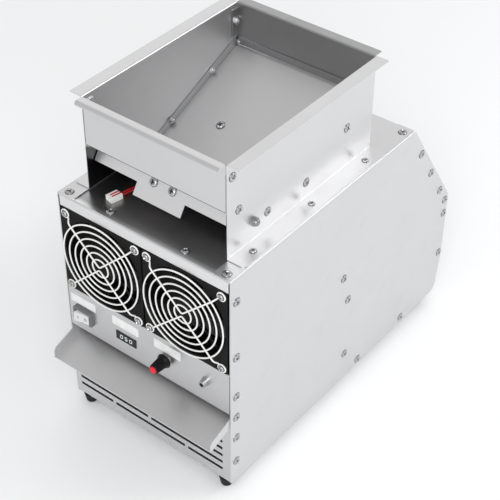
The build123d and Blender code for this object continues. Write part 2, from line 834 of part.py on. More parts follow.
# Hopper sides: foot flange out over the casing, rim flange out at the top
foot_end = hopper_inner + sheet + hopper_foot
side_path = [
    (hopper_half + rim_width, rim_z),
    (hopper_inner, rim_z),
    (hopper_inner, top_z),
    (foot_end, top_z),
]
hopper_side = Pos(0, hopper_back, 0) * extrude(
    Plane.XZ * folded_section(side_path, sheet, bend), amount=hopper_length
)
foot_edges = hopper_side.edges().filter_by(Axis.Z)
foot_front = foot_edges.sort_by_distance(Vector(foot_end, hopper_setback, top_z))[0]
hopper_side = fillet(foot_front, foot_corner)
hopper_side -= hopper_holes


def slope_point(along, below):
    """Point in YZ on the front slope: along from the front wall, below its upper face."""
    angle = math.radians(slope_angle)
    start_z = slot_z + (slot_front_y - wall_y) * math.tan(angle)
    y = wall_y + along * math.cos(angle) - below * math.sin(angle)
    z = start_z - along * math.sin(angle) - below * math.cos(angle)
    return (y, z)


gate_below = sheet + seat_gap
rod_below = gate_below + gate_sheet + seat_gap + rod_radius
rod_along = (rod_y - wall_y + rod_below * math.sin(math.radians(slope_angle))) / math.cos(
    math.radians(slope_angle)
)
rod_z = slope_point(rod_along, rod_below)[1]
hopper_side -= bar_x(rod_radius + rod_play, hopper_inner - 1, hopper_half + 1, rod_y, rod_z)
save(hopper_side, "hopper_side_right")
save(mirror(hopper_side, about=Plane.YZ), "hopper_side_left")

# Hopper front wall: rolled rim forwards, cheeks turned back between the sides
wall_bottom_z = rim_z - front_wall_height
rim_front_y = hopper_setback - front_rim
front_path = [
    (wall_y, wall_bottom_z),
    (wall_y, rim_z),
    (rim_front_y, rim_z),
    (rim_front_y, rim_z - front_rim_drop),
]
hopper_front = cross_panel(front_path, hopper_fit, inside=[bend, front_rim_radius])
cheek_low_z = wall_bottom_z + inner_flange + 2 * corner_clear
hopper_front += cheek(
    [
        (wall_y - sheet / 2, cheek_low_z),
        (hopper_setback + wall_flange, cheek_low_z),
        (hopper_setback + wall_flange, rim_z - wall_flange / 2),
        (wall_y - sheet / 2, rim_z - wall_flange / 2),
    ],
    hopper_fit,
)
save(hopper_front, "hopper_front_wall")

# Hopper rear wall: down to the cover, rim to the rear, cheeks above the floor
back_in_y = hopper_back - sheet
floor_back_y = back_in_y - seat_gap - sheet
floor_back_z = rise(floor_back_y, slot_rear_y, slot_z, floor_angle)
back_path = [
    (hopper_back + rear_rim, rim_z),
    (back_in_y, rim_z),
    (back_in_y, skin_z + seat_gap),
]
hopper_back_wall = cross_panel(back_path, hopper_fit)
back_cheek_z = floor_back_z + inner_flange + corner_clear
hopper_back_wall += cheek(
    [
        (back_in_y - inner_flange, back_cheek_z),
        (back_in_y + sheet / 2, back_cheek_z),
        (back_in_y + sheet / 2, rim_z - wall_flange / 2),
        (back_in_y - inner_flange, rim_z - wall_flange / 2),
    ],
    hopper_fit,
)
save(hopper_back_wall, "hopper_rear_wall")

# Hopper floor: falls forwards to the feed slot, where it folds down as a lip
floor_drop = sheet / math.cos(math.radians(floor_angle))
floor_path = [
    (floor_back_y, floor_back_z + inner_flange),
    (floor_back_y, floor_back_z),
    (slot_rear_y, slot_z),
    (slot_rear_y, slot_z - floor_lip),
]
hopper_floor = cross_panel(floor_path, hopper_fit)
cheek_back_y = floor_back_y - corner_clear
cheek_back_z = rise(cheek_back_y, slot_rear_y, slot_z, floor_angle)
cheek_front_y = slot_rear_y + corner_clear
cheek_front_z = rise(cheek_front_y, slot_rear_y, slot_z, floor_angle)
hopper_floor += cheek(
    [
        (cheek_front_y, cheek_front_z - sheet / 2),
        (cheek_back_y, cheek_back_z - sheet / 2),
        (cheek_back_y, cheek_back_z + inner_flange),
        (cheek_front_y + inner_flange / 2, cheek_front_z + inner_flange),
    ],
    hopper_fit,
)


# Hopper front slope: falls to the rear from the front wall to the feed slot
slope_start_y = wall_y + seat_gap + sheet
slope_start_z = rise(slope_start_y, slot_front_y, slot_z, -slope_angle)
slope_path = [
    (slot_front_y, slot_z),
    (slope_start_y, slope_start_z),
    (slope_start_y, slope_start_z + inner_flange),
]
hopper_slope = cross_panel(slope_path, hopper_fit)
slope_cheek_y = slope_start_y + corner_clear
slope_cheek_z = rise(slope_cheek_y, slot_front_y, slot_z, -slope_angle)
slope_end_y = slot_front_y - corner_clear
slope_end_z = rise(slope_end_y, slot_front_y, slot_z, -slope_angle)
hopper_slope += cheek(
    [
        (slope_cheek_y, slope_cheek_z - sheet / 2),
        (slope_end_y, slope_end_z - sheet / 2),
        (slope_end_y - inner_flange / 2, slope_end_z + inner_flange),
        (slope_cheek_y, slope_cheek_z + inner_flange),
    ],
    hopper_fit,
)
save(hopper_slope, "hopper_front_slope")

# Screws that hold the hopper's feet down on the casing
hopper_screw = pan_screw(
    hopper_screw_radius, hopper_screw_head, hopper_screw_head_height, hopper_screw_length
)
foot_top_z = top_z + sheet
save(Compound([Pos(x, y, foot_top_z) * hopper_screw for x, y in screw_spots]), "hopper_screws")

# Feed gate: a plate that slides under the front slope, bent down at its front
gate_half = hopper_inner - gate_side_play
gate_reach = (
    slot_rear_y - seat_gap - wall_y + gate_below * math.sin(math.radians(slope_angle))
) / math.cos(math.radians(slope_angle))
gate_path = [
    slope_point(gate_reach, gate_below),
    slope_point(gate_front, gate_below),
    slope_point(gate_front, gate_below + gate_flange),
]
gate_plate = cross_panel(gate_path, gate_half, thickness=gate_sheet)

# Gate front: closes the gap under the front wall and carries the pull tab
nose_low = gate_below + gate_nose


def gate_slab(low, high, half_width):
    """Part of the gate's front plate between two depths below the slope."""
    corners = [
        slope_point(gate_front, low),
        slope_point(gate_front, high),
        slope_point(gate_front - sheet, high),
        slope_point(gate_front - sheet, low),
    ]
    face = make_face(Polyline(*corners, close=True))
    return extrude(Plane.YZ * face, amount=half_width, both=True)


gate_front_plate = gate_slab(gate_below, nose_low, gate_half)
gate_front_plate += gate_slab(nose_low - sheet, nose_low + tab_length, tab_width / 2)
screw_low = nose_low - gate_screw_up
screw_y, screw_z = slope_point(gate_front - sheet, screw_low)
lean = Rot(90 - slope_angle, 0, 0)
gate_screws = [
    Pos(side * gate_screw_pitch / 2, screw_y, screw_z)
    * lean
    * pan_screw(gate_screw_radius, gate_screw_head, gate_screw_head_height, gate_screw_length)
    for side in sides
]
for side in sides:
    hole = screw_hole(gate_screw_radius + shaft_play, 2 * gate_screw_length)
    hole = Pos(side * gate_screw_pitch / 2, screw_y, screw_z) * lean * hole
    gate_front_plate -= hole
    gate_plate -= hole
save(gate_plate, "feed_gate")
save(gate_front_plate, "gate_front_plate")
save(Compound(gate_screws), "gate_screws")

# Cross rod that carries the gate, with a domed nut at each end
rod_end = hopper_half + rod_thread
save(bar_x(rod_radius, -rod_end, rod_end, rod_y, rod_z), "gate_rod")
nut = extrude(RegularPolygon(nut_flats / 2, 6, major_radius=False), nut_skirt)
nut_crown = extrude(RegularPolygon(nut_flats / 2 - seat_gap, screw_flats), nut_crown_height, taper=35)
nut += Pos(0, 0, nut_skirt) * nut_crown
nut -= Cylinder(rod_radius + rod_play, 2 * (rod_thread + seat_gap))
right_nut = Pos(hopper_half, rod_y, rod_z) * Rot(0, 90, 0) * nut
save(Compound([right_nut, mirror(right_nut, about=Plane.YZ)]), "rod_cap_nuts")

# Vibration motor: strapped under the hopper floor, axis across the machine
floor_dir = Vector(0, math.cos(math.radians(floor_angle)), math.sin(math.radians(floor_angle)))
floor_up = Vector(0, -math.sin(math.radians(floor_angle)), math.cos(math.radians(floor_angle)))
screw_top = Vector(motor_x, motor_screw_y, rise(motor_screw_y, slot_rear_y, slot_z, floor_angle))
strap_radius = motor_radius + clamp_play + sheet
motor_axis = screw_top + floor_dir * motor_offset - floor_up * (sheet + strap_radius)
motor_low = motor_x - motor_length / 2
motor_high = motor_x + motor_length / 2
motor = bar_x(motor_radius, motor_low, motor_high, motor_axis.Y, motor_axis.Z)
motor -= bar_x(
    motor_shaft_radius + shaft_play, motor_low + motor_length / 2, motor_high + 1, motor_axis.Y, motor_axis.Z
)
save(motor, "vibration_motor")
floor_plane = Plane(origin=screw_top - floor_up * sheet, x_dir=(1, 0, 0), z_dir=floor_up)
strap_tab = floor_plane * (
    Pos(0, motor_offset / 2 - 2, -sheet / 2) * Box(clamp_width, motor_offset + 2 * clamp_screw_head, sheet)
)
half_clamp = clamp_width / 2
strap = bar_x(strap_radius, motor_x - half_clamp, motor_x + half_clamp, motor_axis.Y, motor_axis.Z)
strap += strap_tab
strap -= bar_x(motor_radius + clamp_play, motor_low, motor_high, motor_axis.Y, motor_axis.Z)
clamp_hole = floor_plane * screw_hole(clamp_screw_radius + shaft_play, 4 * sheet)
strap -= clamp_hole
save(strap, "motor_strap")
hopper_floor -= clamp_hole
save(hopper_floor, "hopper_floor")
clamp_screw = pan_screw(
    clamp_screw_radius, clamp_screw_head, clamp_screw_head_height, clamp_screw_length
)
save(floor_plane * (Pos(0, 0, sheet) * clamp_screw), "motor_strap_screw")

# Eccentric weight on the motor shaft, hanging down at rest
weight_low = motor_high + weight_gap
shaft_start = motor_low + motor_length / 2 + seat_gap
shaft_end = motor_high + motor_shaft_length
weight_face = Circle(weight_radius) - Pos(0, weight_radius) * Rectangle(
    2 * weight_radius, 2 * weight_radius
)
weight_face += Circle(weight_boss_radius)
weight_plane = Plane(origin=(weight_low, motor_axis.Y, motor_axis.Z), x_dir=(0, 1, 0), z_dir=(1, 0, 0))
weight = extrude(weight_plane * weight_face, amount=weight_thickness)
weight += bar_x(motor_shaft_radius, shaft_start, shaft_end, motor_axis.Y, motor_axis.Z)
save(weight, "eccentric_weight")

# Two-pole connector of the motor lead, lying on the front top sheet
connector_place = Pos(connector_x, connector_y, skin_z) * Rot(0, 0, -connector_turn)
shell = block(-connector_width / 2, connector_width / 2, 0, connector_length, 0, connector_height)
shell = fillet(shell.edges().filter_by(Axis.Y), connector_wall / 2)
pole = (connector_width - 3 * connector_wall) / 2
for side in sides:
    x = side * (pole + connector_wall) / 2
    shell -= block(
        x - pole / 2,
        x + pole / 2,
        -1,
        connector_length / 2,
        connector_wall,
        connector_height - connector_wall,
    )
save(connector_place * shell, "lead_connector")
leads = []
for side in sides:
    core = bar_y(
        lead_radius,
        connector_length,
        connector_length + lead_length,
        side * lead_pitch / 2,
        lead_radius + connector_wall,
    )
    leads.append(connector_place * core)
save(Compound(leads), "motor_leads")
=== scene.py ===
import json
import math

import bmesh
import bpy
from mathutils import Matrix, Vector

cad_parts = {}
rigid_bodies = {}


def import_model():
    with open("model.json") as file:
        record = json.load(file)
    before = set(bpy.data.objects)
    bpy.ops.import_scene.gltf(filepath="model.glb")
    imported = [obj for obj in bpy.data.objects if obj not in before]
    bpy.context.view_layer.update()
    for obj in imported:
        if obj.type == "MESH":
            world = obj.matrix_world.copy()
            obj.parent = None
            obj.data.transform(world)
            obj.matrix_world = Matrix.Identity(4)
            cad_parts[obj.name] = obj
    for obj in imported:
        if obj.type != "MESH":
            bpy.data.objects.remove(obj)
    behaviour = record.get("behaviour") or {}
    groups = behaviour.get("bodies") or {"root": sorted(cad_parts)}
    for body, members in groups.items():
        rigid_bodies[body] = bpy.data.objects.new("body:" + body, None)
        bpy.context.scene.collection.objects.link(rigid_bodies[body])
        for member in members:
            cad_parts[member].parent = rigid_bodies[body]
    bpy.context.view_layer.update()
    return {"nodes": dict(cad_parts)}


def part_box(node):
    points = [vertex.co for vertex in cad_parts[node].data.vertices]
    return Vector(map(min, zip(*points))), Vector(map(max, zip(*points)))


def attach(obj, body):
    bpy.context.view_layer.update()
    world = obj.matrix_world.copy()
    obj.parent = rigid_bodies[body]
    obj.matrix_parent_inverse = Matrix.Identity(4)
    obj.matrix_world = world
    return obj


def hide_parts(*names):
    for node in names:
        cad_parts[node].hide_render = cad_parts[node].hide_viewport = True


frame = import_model()
nodes = frame["nodes"]
scene = bpy.context.scene
MM = 0.001

# The view. The machine stands on a pale bench and is looked down on from its right front
# corner. Depths are measured from the casing's front edge, heights from the side plates' foot.
front_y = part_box("right_side_plate")[0].y
foot_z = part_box("right_side_plate")[0].z
view_azimuth = math.radians(37.747)
view_elevation = math.radians(39.624)
view_roll = math.radians(0.612)
view_place = Vector((761.3, -789.7, 1201.7)) * MM + Vector((0.0, front_y, foot_z))
back = Vector(
    (
        math.sin(view_azimuth) * math.cos(view_elevation),
        -math.cos(view_azimuth) * math.cos(view_elevation),
        math.sin(view_elevation),
    )
)
level = Vector((math.cos(view_azimuth), math.sin(view_azimuth), 0.0))
rise = back.cross(level)
across = level * math.cos(view_roll) + rise * math.sin(view_roll)
rise = rise * math.cos(view_roll) - level * math.sin(view_roll)
camera_data = bpy.data.cameras.new("camera")
camera_data.lens = 93.785
camera_data.sensor_width = 36.0
camera_data.clip_end = 20.0
camera = bpy.data.objects.new("camera", camera_data)
view_turn = Matrix((across, rise, back)).transposed().to_4x4()
camera.matrix_world = Matrix.Translation(view_place) @ view_turn
scene.collection.objects.link(camera)
scene.camera = camera
scene.view_settings.view_transform = "Standard"


# The bench and the lamps. White paper lies under the machine. Large soft lamps light it from
# behind the viewer and from both rear corners; only the level sheets mirror the left one.
class Socket:
    """One value in a material, so that shader sums read as plain arithmetic."""

    def __init__(self, finish, plug):
        self.finish = finish
        self.plug = plug

    def worked(self, operation, first, second):
        """The output of a Math node on two values."""
        return self.finish.node("ShaderNodeMath", {"operation": operation}, {0: first, 1: second})

    def __add__(self, other):
        return self.worked("ADD", self, other)

    def __radd__(self, other):
        return self.worked("ADD", other, self)

    def __sub__(self, other):
        return self.worked("SUBTRACT", self, other)

    def __rsub__(self, other):
        return self.worked("SUBTRACT", other, self)

    def __mul__(self, other):
        return self.worked("MULTIPLY", self, other)

    def __rmul__(self, other):
        return self.worked("MULTIPLY", other, self)


class Finish:
    """A material under construction: its nodes, and the surface that they feed."""

    def __init__(self, name):
        self.material = bpy.data.materials.new(name)
        self.material.use_nodes = True
        self.tree = self.material.node_tree
        self.tree.nodes.clear()
        self.output = self.tree.nodes.new("ShaderNodeOutputMaterial")
        self.place = self.node("ShaderNodeTexCoord", {}, {}, "Object")

    def node(self, kind, settings, values, out=0):
        """Adds a node: its settings first, then a value or a link for each socket named."""
        made = self.tree.nodes.new(kind)
        for name, value in settings.items():
            setattr(made, name, value)
        for name, value in values.items():
            if isinstance(value, Socket):
                self.tree.links.new(value.plug, made.inputs[name])
            else:
                made.inputs[name].default_value = value
        return Socket(self, made.outputs[out])

    def noise(self, factors, detail=2.0, rough=0.5):
        """Smooth random grey with so many features in a metre along each axis."""
        if isinstance(factors, float):
            factors = (factors, factors, factors)
        scaled = {0: self.place, 1: factors}
        grain = self.node("ShaderNodeVectorMath", {"operation": "MULTIPLY"}, scaled)
        sockets = {"Vector": grain, "Scale": 1.0, "Detail": detail, "Roughness": rough}
        return self.node("ShaderNodeTexNoise", {}, sockets, "Fac")

    def step(self, value, low, high):
        """0 below low, 1 above high, and even between them."""
        sockets = {"Value": value, "From Min": low, "From Max": high}
        return self.node("ShaderNodeMapRange", {"clamp": True}, sockets)

    def along(self, axis):
        """The place on the piece along one axis, in metres."""
        return self.node("ShaderNodeSeparateXYZ", {}, {"Vector": self.place}, axis)

    def mix(self, share, first, second):
        """Blends two colours by a share from 0 to 1."""
        first, second = [c if isinstance(c, Socket) else (*c, 1.0) for c in (first, second)]
        mixed = {"Factor": share, 6: first, 7: second}
        return self.node("ShaderNodeMix", {"data_type": "RGBA"}, mixed, 2)

    def bump(self, height, depth, strength):
        """A relief from a height, to the full depth in metres where the height is 1."""
        sockets = {"Height": height, "Distance": depth, "Strength": strength}
        return self.node("ShaderNodeBump", {}, sockets, "Normal")

    def surface(self, values):
        """Ends the material in one Principled shader with the values of its sockets."""
        filled = {k: (*v, 1.0) if isinstance(v, tuple) else v for k, v in values.items()}
        shader = self.node("ShaderNodeBsdfPrincipled", {}, filled)
        self.tree.links.new(shader.plug, self.output.inputs["Surface"])
        return self.material


def bench_paper():
    """Matt white paper with the faintest tooth."""
    paper = Finish("bench_paper")
    tooth = paper.noise(900.0, detail=3.0)
    tone = paper.mix(tooth, (0.955, 0.96, 0.965), (0.97, 0.975, 0.98))
    return paper.surface({"Base Color": tone, "Roughness": 0.85, "Specular IOR Level": 0.2})


bench_reach = 3.0
bench_mesh = bpy.data.meshes.new("bench")
bench_mesh.from_pydata([(x, y, 0) for x, y in ((-1, -1), (1, -1), (1, 1), (-1, 1))], [], [(0, 1, 2, 3)])
bench_mesh.transform(Matrix.Scale(bench_reach, 4))
bench_mesh.materials.append(bench_paper())
bench = bpy.data.objects.new("bench", bench_mesh)
scene.collection.objects.link(bench)

sky = bpy.data.worlds.new("studio")
sky.use_nodes = True
sky.node_tree.nodes["Background"].inputs["Color"].default_value = (0.985, 0.985, 0.99, 1.0)
sky.node_tree.nodes["Background"].inputs["Strength"].default_value = 0.68
scene.world = sky

# Each lamp: its name, place and size in metres, and its power in watts. All aim at one spot.
lamp_aim = Vector((0.0, 0.0, 0.2))
lamps = (
    ("lamp_viewer", (1.2, -1.7, 1.7), (1.2, 1.2), 26.0),
    ("lamp_rear", (1.5, 1.4, 1.6), (1.2, 1.2), 16.0),
    ("lamp_left", (-1.5, 1.7, 1.9), (1.8, 1.8), 4.5),
)
for name, place, size, power in lamps:
    lamp_data = bpy.data.lights.new(name, "AREA")
    lamp_data.shape = "RECTANGLE"
    lamp_data.size, lamp_data.size_y = size
    lamp_data.energy = power
    lamp = bpy.data.objects.new(name, lamp_data)
    lamp.location = place
    lamp.rotation_euler = (lamp_aim - Vector(place)).to_track_quat("-Z", "Y").to_euler()
    scene.collection.objects.link(lamp)

# Casing sheets. Stainless sheet, sheared, punched and folded on a press brake, with the satin
# face that it leaves the mill with: a fine rolling grain, faint clouds and handling marks.
long_sheets = (
    "left_side_plate",
    "right_side_plate",
    "rear_cover",
    "base_tray",
    "grain_chute",
    "fan_top_channel",
)
cross_sheets = ("rear_rail", "vent_panel", "control_panel")
inner_sheets = ("divider_plate", "control_box_tray")
# Painted shade on the top sheet starts behind its lip and deepens under the hopper.
lip_end = front_y + 3 * MM
lip_shade_start = front_y + 9 * MM
shade_start = front_y + 20 * MM
shade_end = front_y + 75 * MM


def mill_sheet(name, tone, grain, dull):
    """Satin stainless steel, with the rolling grain's features in a metre along each axis."""
    steel = Finish(name)
    clouds = steel.noise(9.0, detail=3.0, rough=0.55)
    rolling = steel.noise(grain, detail=2.0, rough=0.6)
    speckle = steel.noise(2600.0, detail=1.0)
    smears = steel.step(steel.noise(26.0, detail=4.0, rough=0.62), 0.56, 0.74)
    light = (tone, tone, tone * 1.005)
    dark = (tone * 0.92, tone * 0.92, tone * 0.93)
    colour = steel.mix(clouds * 0.55 + rolling * 0.30 + smears * 0.25, light, dark)
    rough = dull + (clouds - 0.5) * 0.10 + (rolling - 0.5) * 0.10 + smears * 0.05
    relief = steel.bump(rolling * 0.6 + speckle * 0.4, 0.00003, 0.3)
    return steel.surface({"Base Color": colour, "Metallic": 1.0, "Roughness": rough, "Normal": relief})


def dress(names, material):
    """Gives a finish to pieces of the frame."""
    for name in names:
        mesh = nodes[name].data
        mesh.materials.clear()
        mesh.materials.append(material)


def shaded_top_sheet():
    """The front top sheet: bright at its folded lip, with painted shade behind it that deepens under
    the hopper.
    """
    steel = Finish("top_sheet_painted_shade")
    along = steel.along("Y")
    clouds = steel.noise(14.0, detail=3.0, rough=0.6)
    rolling = steel.noise((60.0, 1400.0, 1400.0), detail=2.0, rough=0.6)
    behind = steel.step(along + (clouds - 0.5) * 0.002, lip_end, lip_shade_start)
    deeper = steel.step(along + (clouds - 0.5) * 0.05, shade_start, shade_end)
    # Painted shade: mid grey behind the lip, near black under the hopper.
    painted_shade_tone = steel.mix(deeper, (0.40, 0.40, 0.405), (0.15, 0.15, 0.15))
    colour = steel.mix(behind, (0.80, 0.80, 0.80), painted_shade_tone)
    rough = 0.34 + (clouds - 0.5) * 0.16 + (rolling - 0.5) * 0.06
    return steel.surface({"Base Color": colour, "Metallic": 1.0, "Roughness": rough})


dress(long_sheets, mill_sheet("casing_steel", 0.70, (1400.0, 60.0, 1400.0), 0.40))
dress(cross_sheets, mill_sheet("panel_steel", 0.66, (60.0, 60.0, 1400.0), 0.42))
# The top sheet carries painted shade behind its lip.
dress(("top_plate",), shaded_top_sheet())
# The inner sheets' dark tone is painted shade, for the unlit inside of the casing.
dress(inner_sheets, mill_sheet("interior_painted_shade", 0.30, (60.0, 60.0, 1400.0), 0.55))

# Hopper. Stainless sheet, folded and screwed up to an open box: two side plates, a front and a
# rear wall, and the floor and front slope that seed slides on. Painted shade darkens folds and corners.
slope_fall = 0.655
slope_depth = 45.0 * MM
slope_height = 372.0 * MM
side_inner_face = 99.2 * MM
side_outer_face = 99.8 * MM
fold_start = 95.8 * MM
fold_end = 96.6 * MM
floor_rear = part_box("hopper_floor")[1].y


def slid_sheet(name, shade, shaded):
    """Hopper sheet worn bright, with the share of a darker painted shade that shaded works out."""
    steel = Finish(name)
    clouds = steel.noise(9.0, detail=3.0, rough=0.55)
    rolling = steel.noise((1200.0, 90.0, 1200.0), detail=2.0, rough=0.6)
    worn = steel.mix(clouds * 0.55 + rolling * 0.35, (0.71, 0.71, 0.714), (0.65, 0.65, 0.655))
    colour = steel.mix(shaded(steel, clouds), worn, shade)
    rough = 0.38 + (clouds - 0.5) * 0.12 + (rolling - 0.5) * 0.1
    return steel.surface({"Base Color": colour, "Metallic": 1.0, "Roughness": rough})


def slope_shade(steel, clouds):
    """Painted shade for the side plates: their inner faces below the sloping front sheet."""
    line = foot_z + slope_height + slope_fall * (front_y + slope_depth)
    up = steel.along("Z") + steel.along("Y") * slope_fall + (clouds - 0.5) * 0.01
    under = 1.0 - steel.step(up, line - 10 * MM, line - 4 * MM)
    aside = steel.along("X")
    return under * steel.step(aside * aside, side_outer_face**2, side_inner_face**2)


def edge_shade(folded_share, upturned_share):
    """Painted shade for a sheet that lies between the plates: its folded sides and upturned edge."""

    def shaded(steel, clouds):
        aside = steel.along("X")
        folded = steel.step(aside * aside, fold_start**2, fold_end**2)
        upturned = steel.step(steel.along("Y"), floor_rear - 6 * MM, floor_rear - 2 * MM)
        return upturned * upturned_share + folded * folded_share

    return shaded


# Painted shade: near black on the side plates below the front slope and in the slope's folds, grey in
# the floor's folds and at its upturned edge.
side_steel = slid_sheet("hopper_side_steel", (0.06, 0.06, 0.06), slope_shade)
dress(("hopper_side_left", "hopper_side_right"), side_steel)
floor_steel = slid_sheet("hopper_floor_steel", (0.36, 0.36, 0.365), edge_shade(0.6, 0.9))
dress(("hopper_floor",), floor_steel)
slope_steel = slid_sheet("front_slope_steel", (0.05, 0.05, 0.05), edge_shade(0.95, 0.0))
dress(("hopper_front_slope",), slope_steel)
# The rear wall's dark tone is painted shade, for the hopper's shaded inside.
dress(("hopper_rear_wall",), mill_sheet("rear_wall_painted_shade", 0.40, (90.0, 90.0, 1200.0), 0.34))
hopper_steel = mill_sheet("hopper_steel", 0.71, (1200.0, 90.0, 1200.0), 0.38)
dress(("hopper_front_wall",), hopper_steel)


# Screws. Zinc-plated pan heads with a cross recess hold every folded flange and the hopper's
# feet. They are turned by hand, so no two recesses point the same way.
class Grower:
    """A Geometry Nodes tree under construction, with its named inputs."""

    def __init__(self, name, inputs):
        self.tree = bpy.data.node_groups.new(name, "GeometryNodeTree")
        face = self.tree.interface
        face.new_socket("Geometry", in_out="OUTPUT", socket_type="NodeSocketGeometry")
        face.new_socket("Geometry", in_out="INPUT", socket_type="NodeSocketGeometry")
        self.ids = {}
        for label, kind in inputs.items():
            made = face.new_socket(label, in_out="INPUT", socket_type=f"NodeSocket{kind}")
            self.ids[label] = made.identifier
        self.start = self.tree.nodes.new("NodeGroupInput")
        self.end = self.tree.nodes.new("NodeGroupOutput")

    def given(self, label):
        """One of the tree's named inputs."""
        return self.start.outputs[label]

    def node(self, kind, settings, values, out=0):
        """Adds a node: its settings first, then a value or a link for each socket named."""
        made = self.tree.nodes.new(kind)
        for name, value in settings.items():
            setattr(made, name, value)
        for name, value in values.items():
            if isinstance(value, bpy.types.NodeSocket):
                self.tree.links.new(value, made.inputs[name])
            else:
                made.inputs[name].default_value = value
        return made.outputs[out]

    def close(self, geometry):
        """Ends the tree: instances made real, and the material of the Finish input set."""
        real = self.node("GeometryNodeRealizeInstances", {}, {"Geometry": geometry})
        sockets = {"Geometry": real, "Material": self.given("Finish")}
        self.tree.links.new(self.node("GeometryNodeSetMaterial", {}, sockets), self.end.inputs[0])

    def grow(self, name, mesh, values):
        """Runs the tree on a mesh and returns its result as an object with a plain mesh."""
        obj = piece(name, mesh)
        modifier = obj.modifiers.new("grow", "NODES")
        modifier.node_group = self.tree
        for label, value in values.items():
            modifier[self.ids[label]] = value
        seen = obj.evaluated_get(bpy.context.evaluated_depsgraph_get())
        obj.data = bpy.data.meshes.new_from_object(seen)
        obj.modifiers.remove(modifier)
        bpy.data.meshes.remove(mesh)
        return obj


def piece(name, mesh, material=None):
    """A new object for a mesh that is made in its place."""
    if material:
        mesh.materials.append(material)
    obj = bpy.data.objects.new(name, mesh)
    scene.collection.objects.link(obj)
    return obj


def finished(made, name):
    """A plain mesh from a worked one."""
    bmesh.ops.recalc_face_normals(made, faces=made.faces)
    mesh = bpy.data.meshes.new(name)
    made.to_mesh(mesh)
    made.free()
    return mesh


def lathe(made, outline, steps, reach=None):
    """Adds a form turned about Z, from (radius, height) pairs that run from foot to crown.

    reach changes a radius by the angle, the height and the radius, for flats and flutes.
    """
    rings = []
    for radius, height in outline:
        if radius == 0:
            rings.append([made.verts.new((0, 0, height))])
            continue
        ring = []
        for i in range(steps):
            angle = 2 * math.pi * i / steps
            length = reach(angle, height, radius) if reach else radius
            ring.append(made.verts.new((length * math.cos(angle), length * math.sin(angle), height)))
        rings.append(ring)
    for low, high in zip(rings, rings[1:]):
        for i in range(steps):
            j = (i + 1) % steps
            loop = [low[i % len(low)], low[j % len(low)], high[j % len(high)], high[i % len(high)]]
            made.faces.new(list(dict.fromkeys(loop)))


def turned(name, outline, steps, reach=None):
    """A piece turned on its own."""
    made = bmesh.new()
    lathe(made, outline, steps, reach)
    return finished(made, name)


def smooth(mesh, angle=40.0):
    """Shades a mesh smooth, but keeps the edges that are sharper than the angle."""
    made = bmesh.new()
    made.from_mesh(mesh)
    for face in made.faces:
        face.smooth = True
    for edge in made.edges:
        edge.smooth = len(edge.link_faces) == 2 and edge.calc_face_angle() < math.radians(angle)
    made.to_mesh(mesh)
    made.free()
    return mesh


def cut_away(obj, tool):
    """Takes one solid out of another and throws the tool away."""
    cut = obj.modifiers.new("cut", "BOOLEAN")
    cut.object = tool
    cut.solver = "EXACT"
    seen = obj.evaluated_get(bpy.context.evaluated_depsgraph_get())
    obj.data = bpy.data.meshes.new_from_object(seen)
    obj.modifiers.remove(cut)
    bpy.data.objects.remove(tool)


def slab(made, outline, low, high):
    """Adds a flat form with an outline of (x, y) points, between two heights."""
    foot = [made.verts.new((x, y, low)) for x, y in outline]
    crown = [made.verts.new((x, y, high)) for x, y in outline]
    made.faces.new(foot[::-1])
    made.faces.new(crown)
    for i in range(len(outline)):
        j = (i + 1) % len(outline)
        made.faces.new((foot[i], foot[j], crown[j], crown[i]))


def oblong(width, height):
    """The outline of a rectangle about the origin."""
    return [(x * width / 2, y * height / 2) for x, y in ((-1, -1), (1, -1), (1, 1), (-1, 1))]


def millimetres(pairs):
    """An outline in metres from one in millimetres."""
    return [(a * MM, b * MM) for a, b in pairs]


def pan_head(name, radius, height, spread=0.35 * MM):
    """A domed head with a tapered cross recess, seated at the origin and facing up.

    With it comes a dark film of painted shade that lies in the recess and as a ring around the head.
    """
    rim = ((0.0, -0.05), (0.96, -0.05), (0.96, 0.08))
    dome = (*rim, (0.95, 0.40), (0.80, 0.74), (0.52, 0.92), (0.0, 1.0))
    head = piece(name, turned(name, [(radius * r, height * h) for r, h in dome], 20))
    arm, waist, floor = radius * 0.66, radius * 0.19, height * 0.15
    arm_taper, waist_taper = 0.45, 0.75
    for quarter in (0, 1):
        bar = bmesh.new()
        bmesh.ops.create_cube(bar, size=2.0)
        for corner in bar.verts:
            deep = corner.co.z < 0
            corner.co.x *= arm * (arm_taper if deep else 1.0)
            corner.co.y *= waist * (waist_taper if deep else 1.0)
            corner.co.z = floor if deep else height * 1.2
        turned_round = Matrix.Rotation(math.pi / 2 * quarter, 3, "Z")
        bmesh.ops.rotate(bar, verts=bar.verts, matrix=turned_round)
        cut_away(head, piece("recess", finished(bar, "recess")))
    smooth(head.data)
    # Painted shade: near-black slabs in the cross recess, and a thin ring round the head where it meets
    # the sheet.
    film = bmesh.new()
    slab(film, oblong(arm * 1.1, waist * 1.6), floor, height * 0.42)
    slab(film, oblong(waist * 1.6, arm * 1.1), floor, height * 0.43)
    shore = radius / MM + spread / MM
    lathe(film, millimetres(((0.0, -0.05), (shore, -0.05), (shore - 0.15, 0.12), (0.0, 0.12))), 20)
    return head, piece("film", finished(film, "film"))


def plated_steel():
    """Bright zinc: light grey, clearer than the sheets, with dull patches and tool rub."""
    plate = Finish("plated_steel")
    patches = plate.noise(420.0)
    rub = plate.step(plate.noise(1500.0, detail=3.0, rough=0.7), 0.45, 0.75)
    colour = plate.mix(rub, (0.54, 0.54, 0.545), (0.33, 0.33, 0.34))
    rough = 0.20 + patches * 0.14 + rub * 0.12
    return plate.surface({"Base Color": colour, "Metallic": 1.0, "Roughness": rough})


def painted_shade_film():
    """Near-black painted shade in a screw's recess, round its head and in the seams."""
    painted_shade = Finish("painted_shade_black")
    tone = painted_shade.mix(painted_shade.noise(900.0), (0.008, 0.008, 0.008), (0.03, 0.03, 0.028))
    return painted_shade.surface({"Base Color": tone, "Roughness": 0.6})


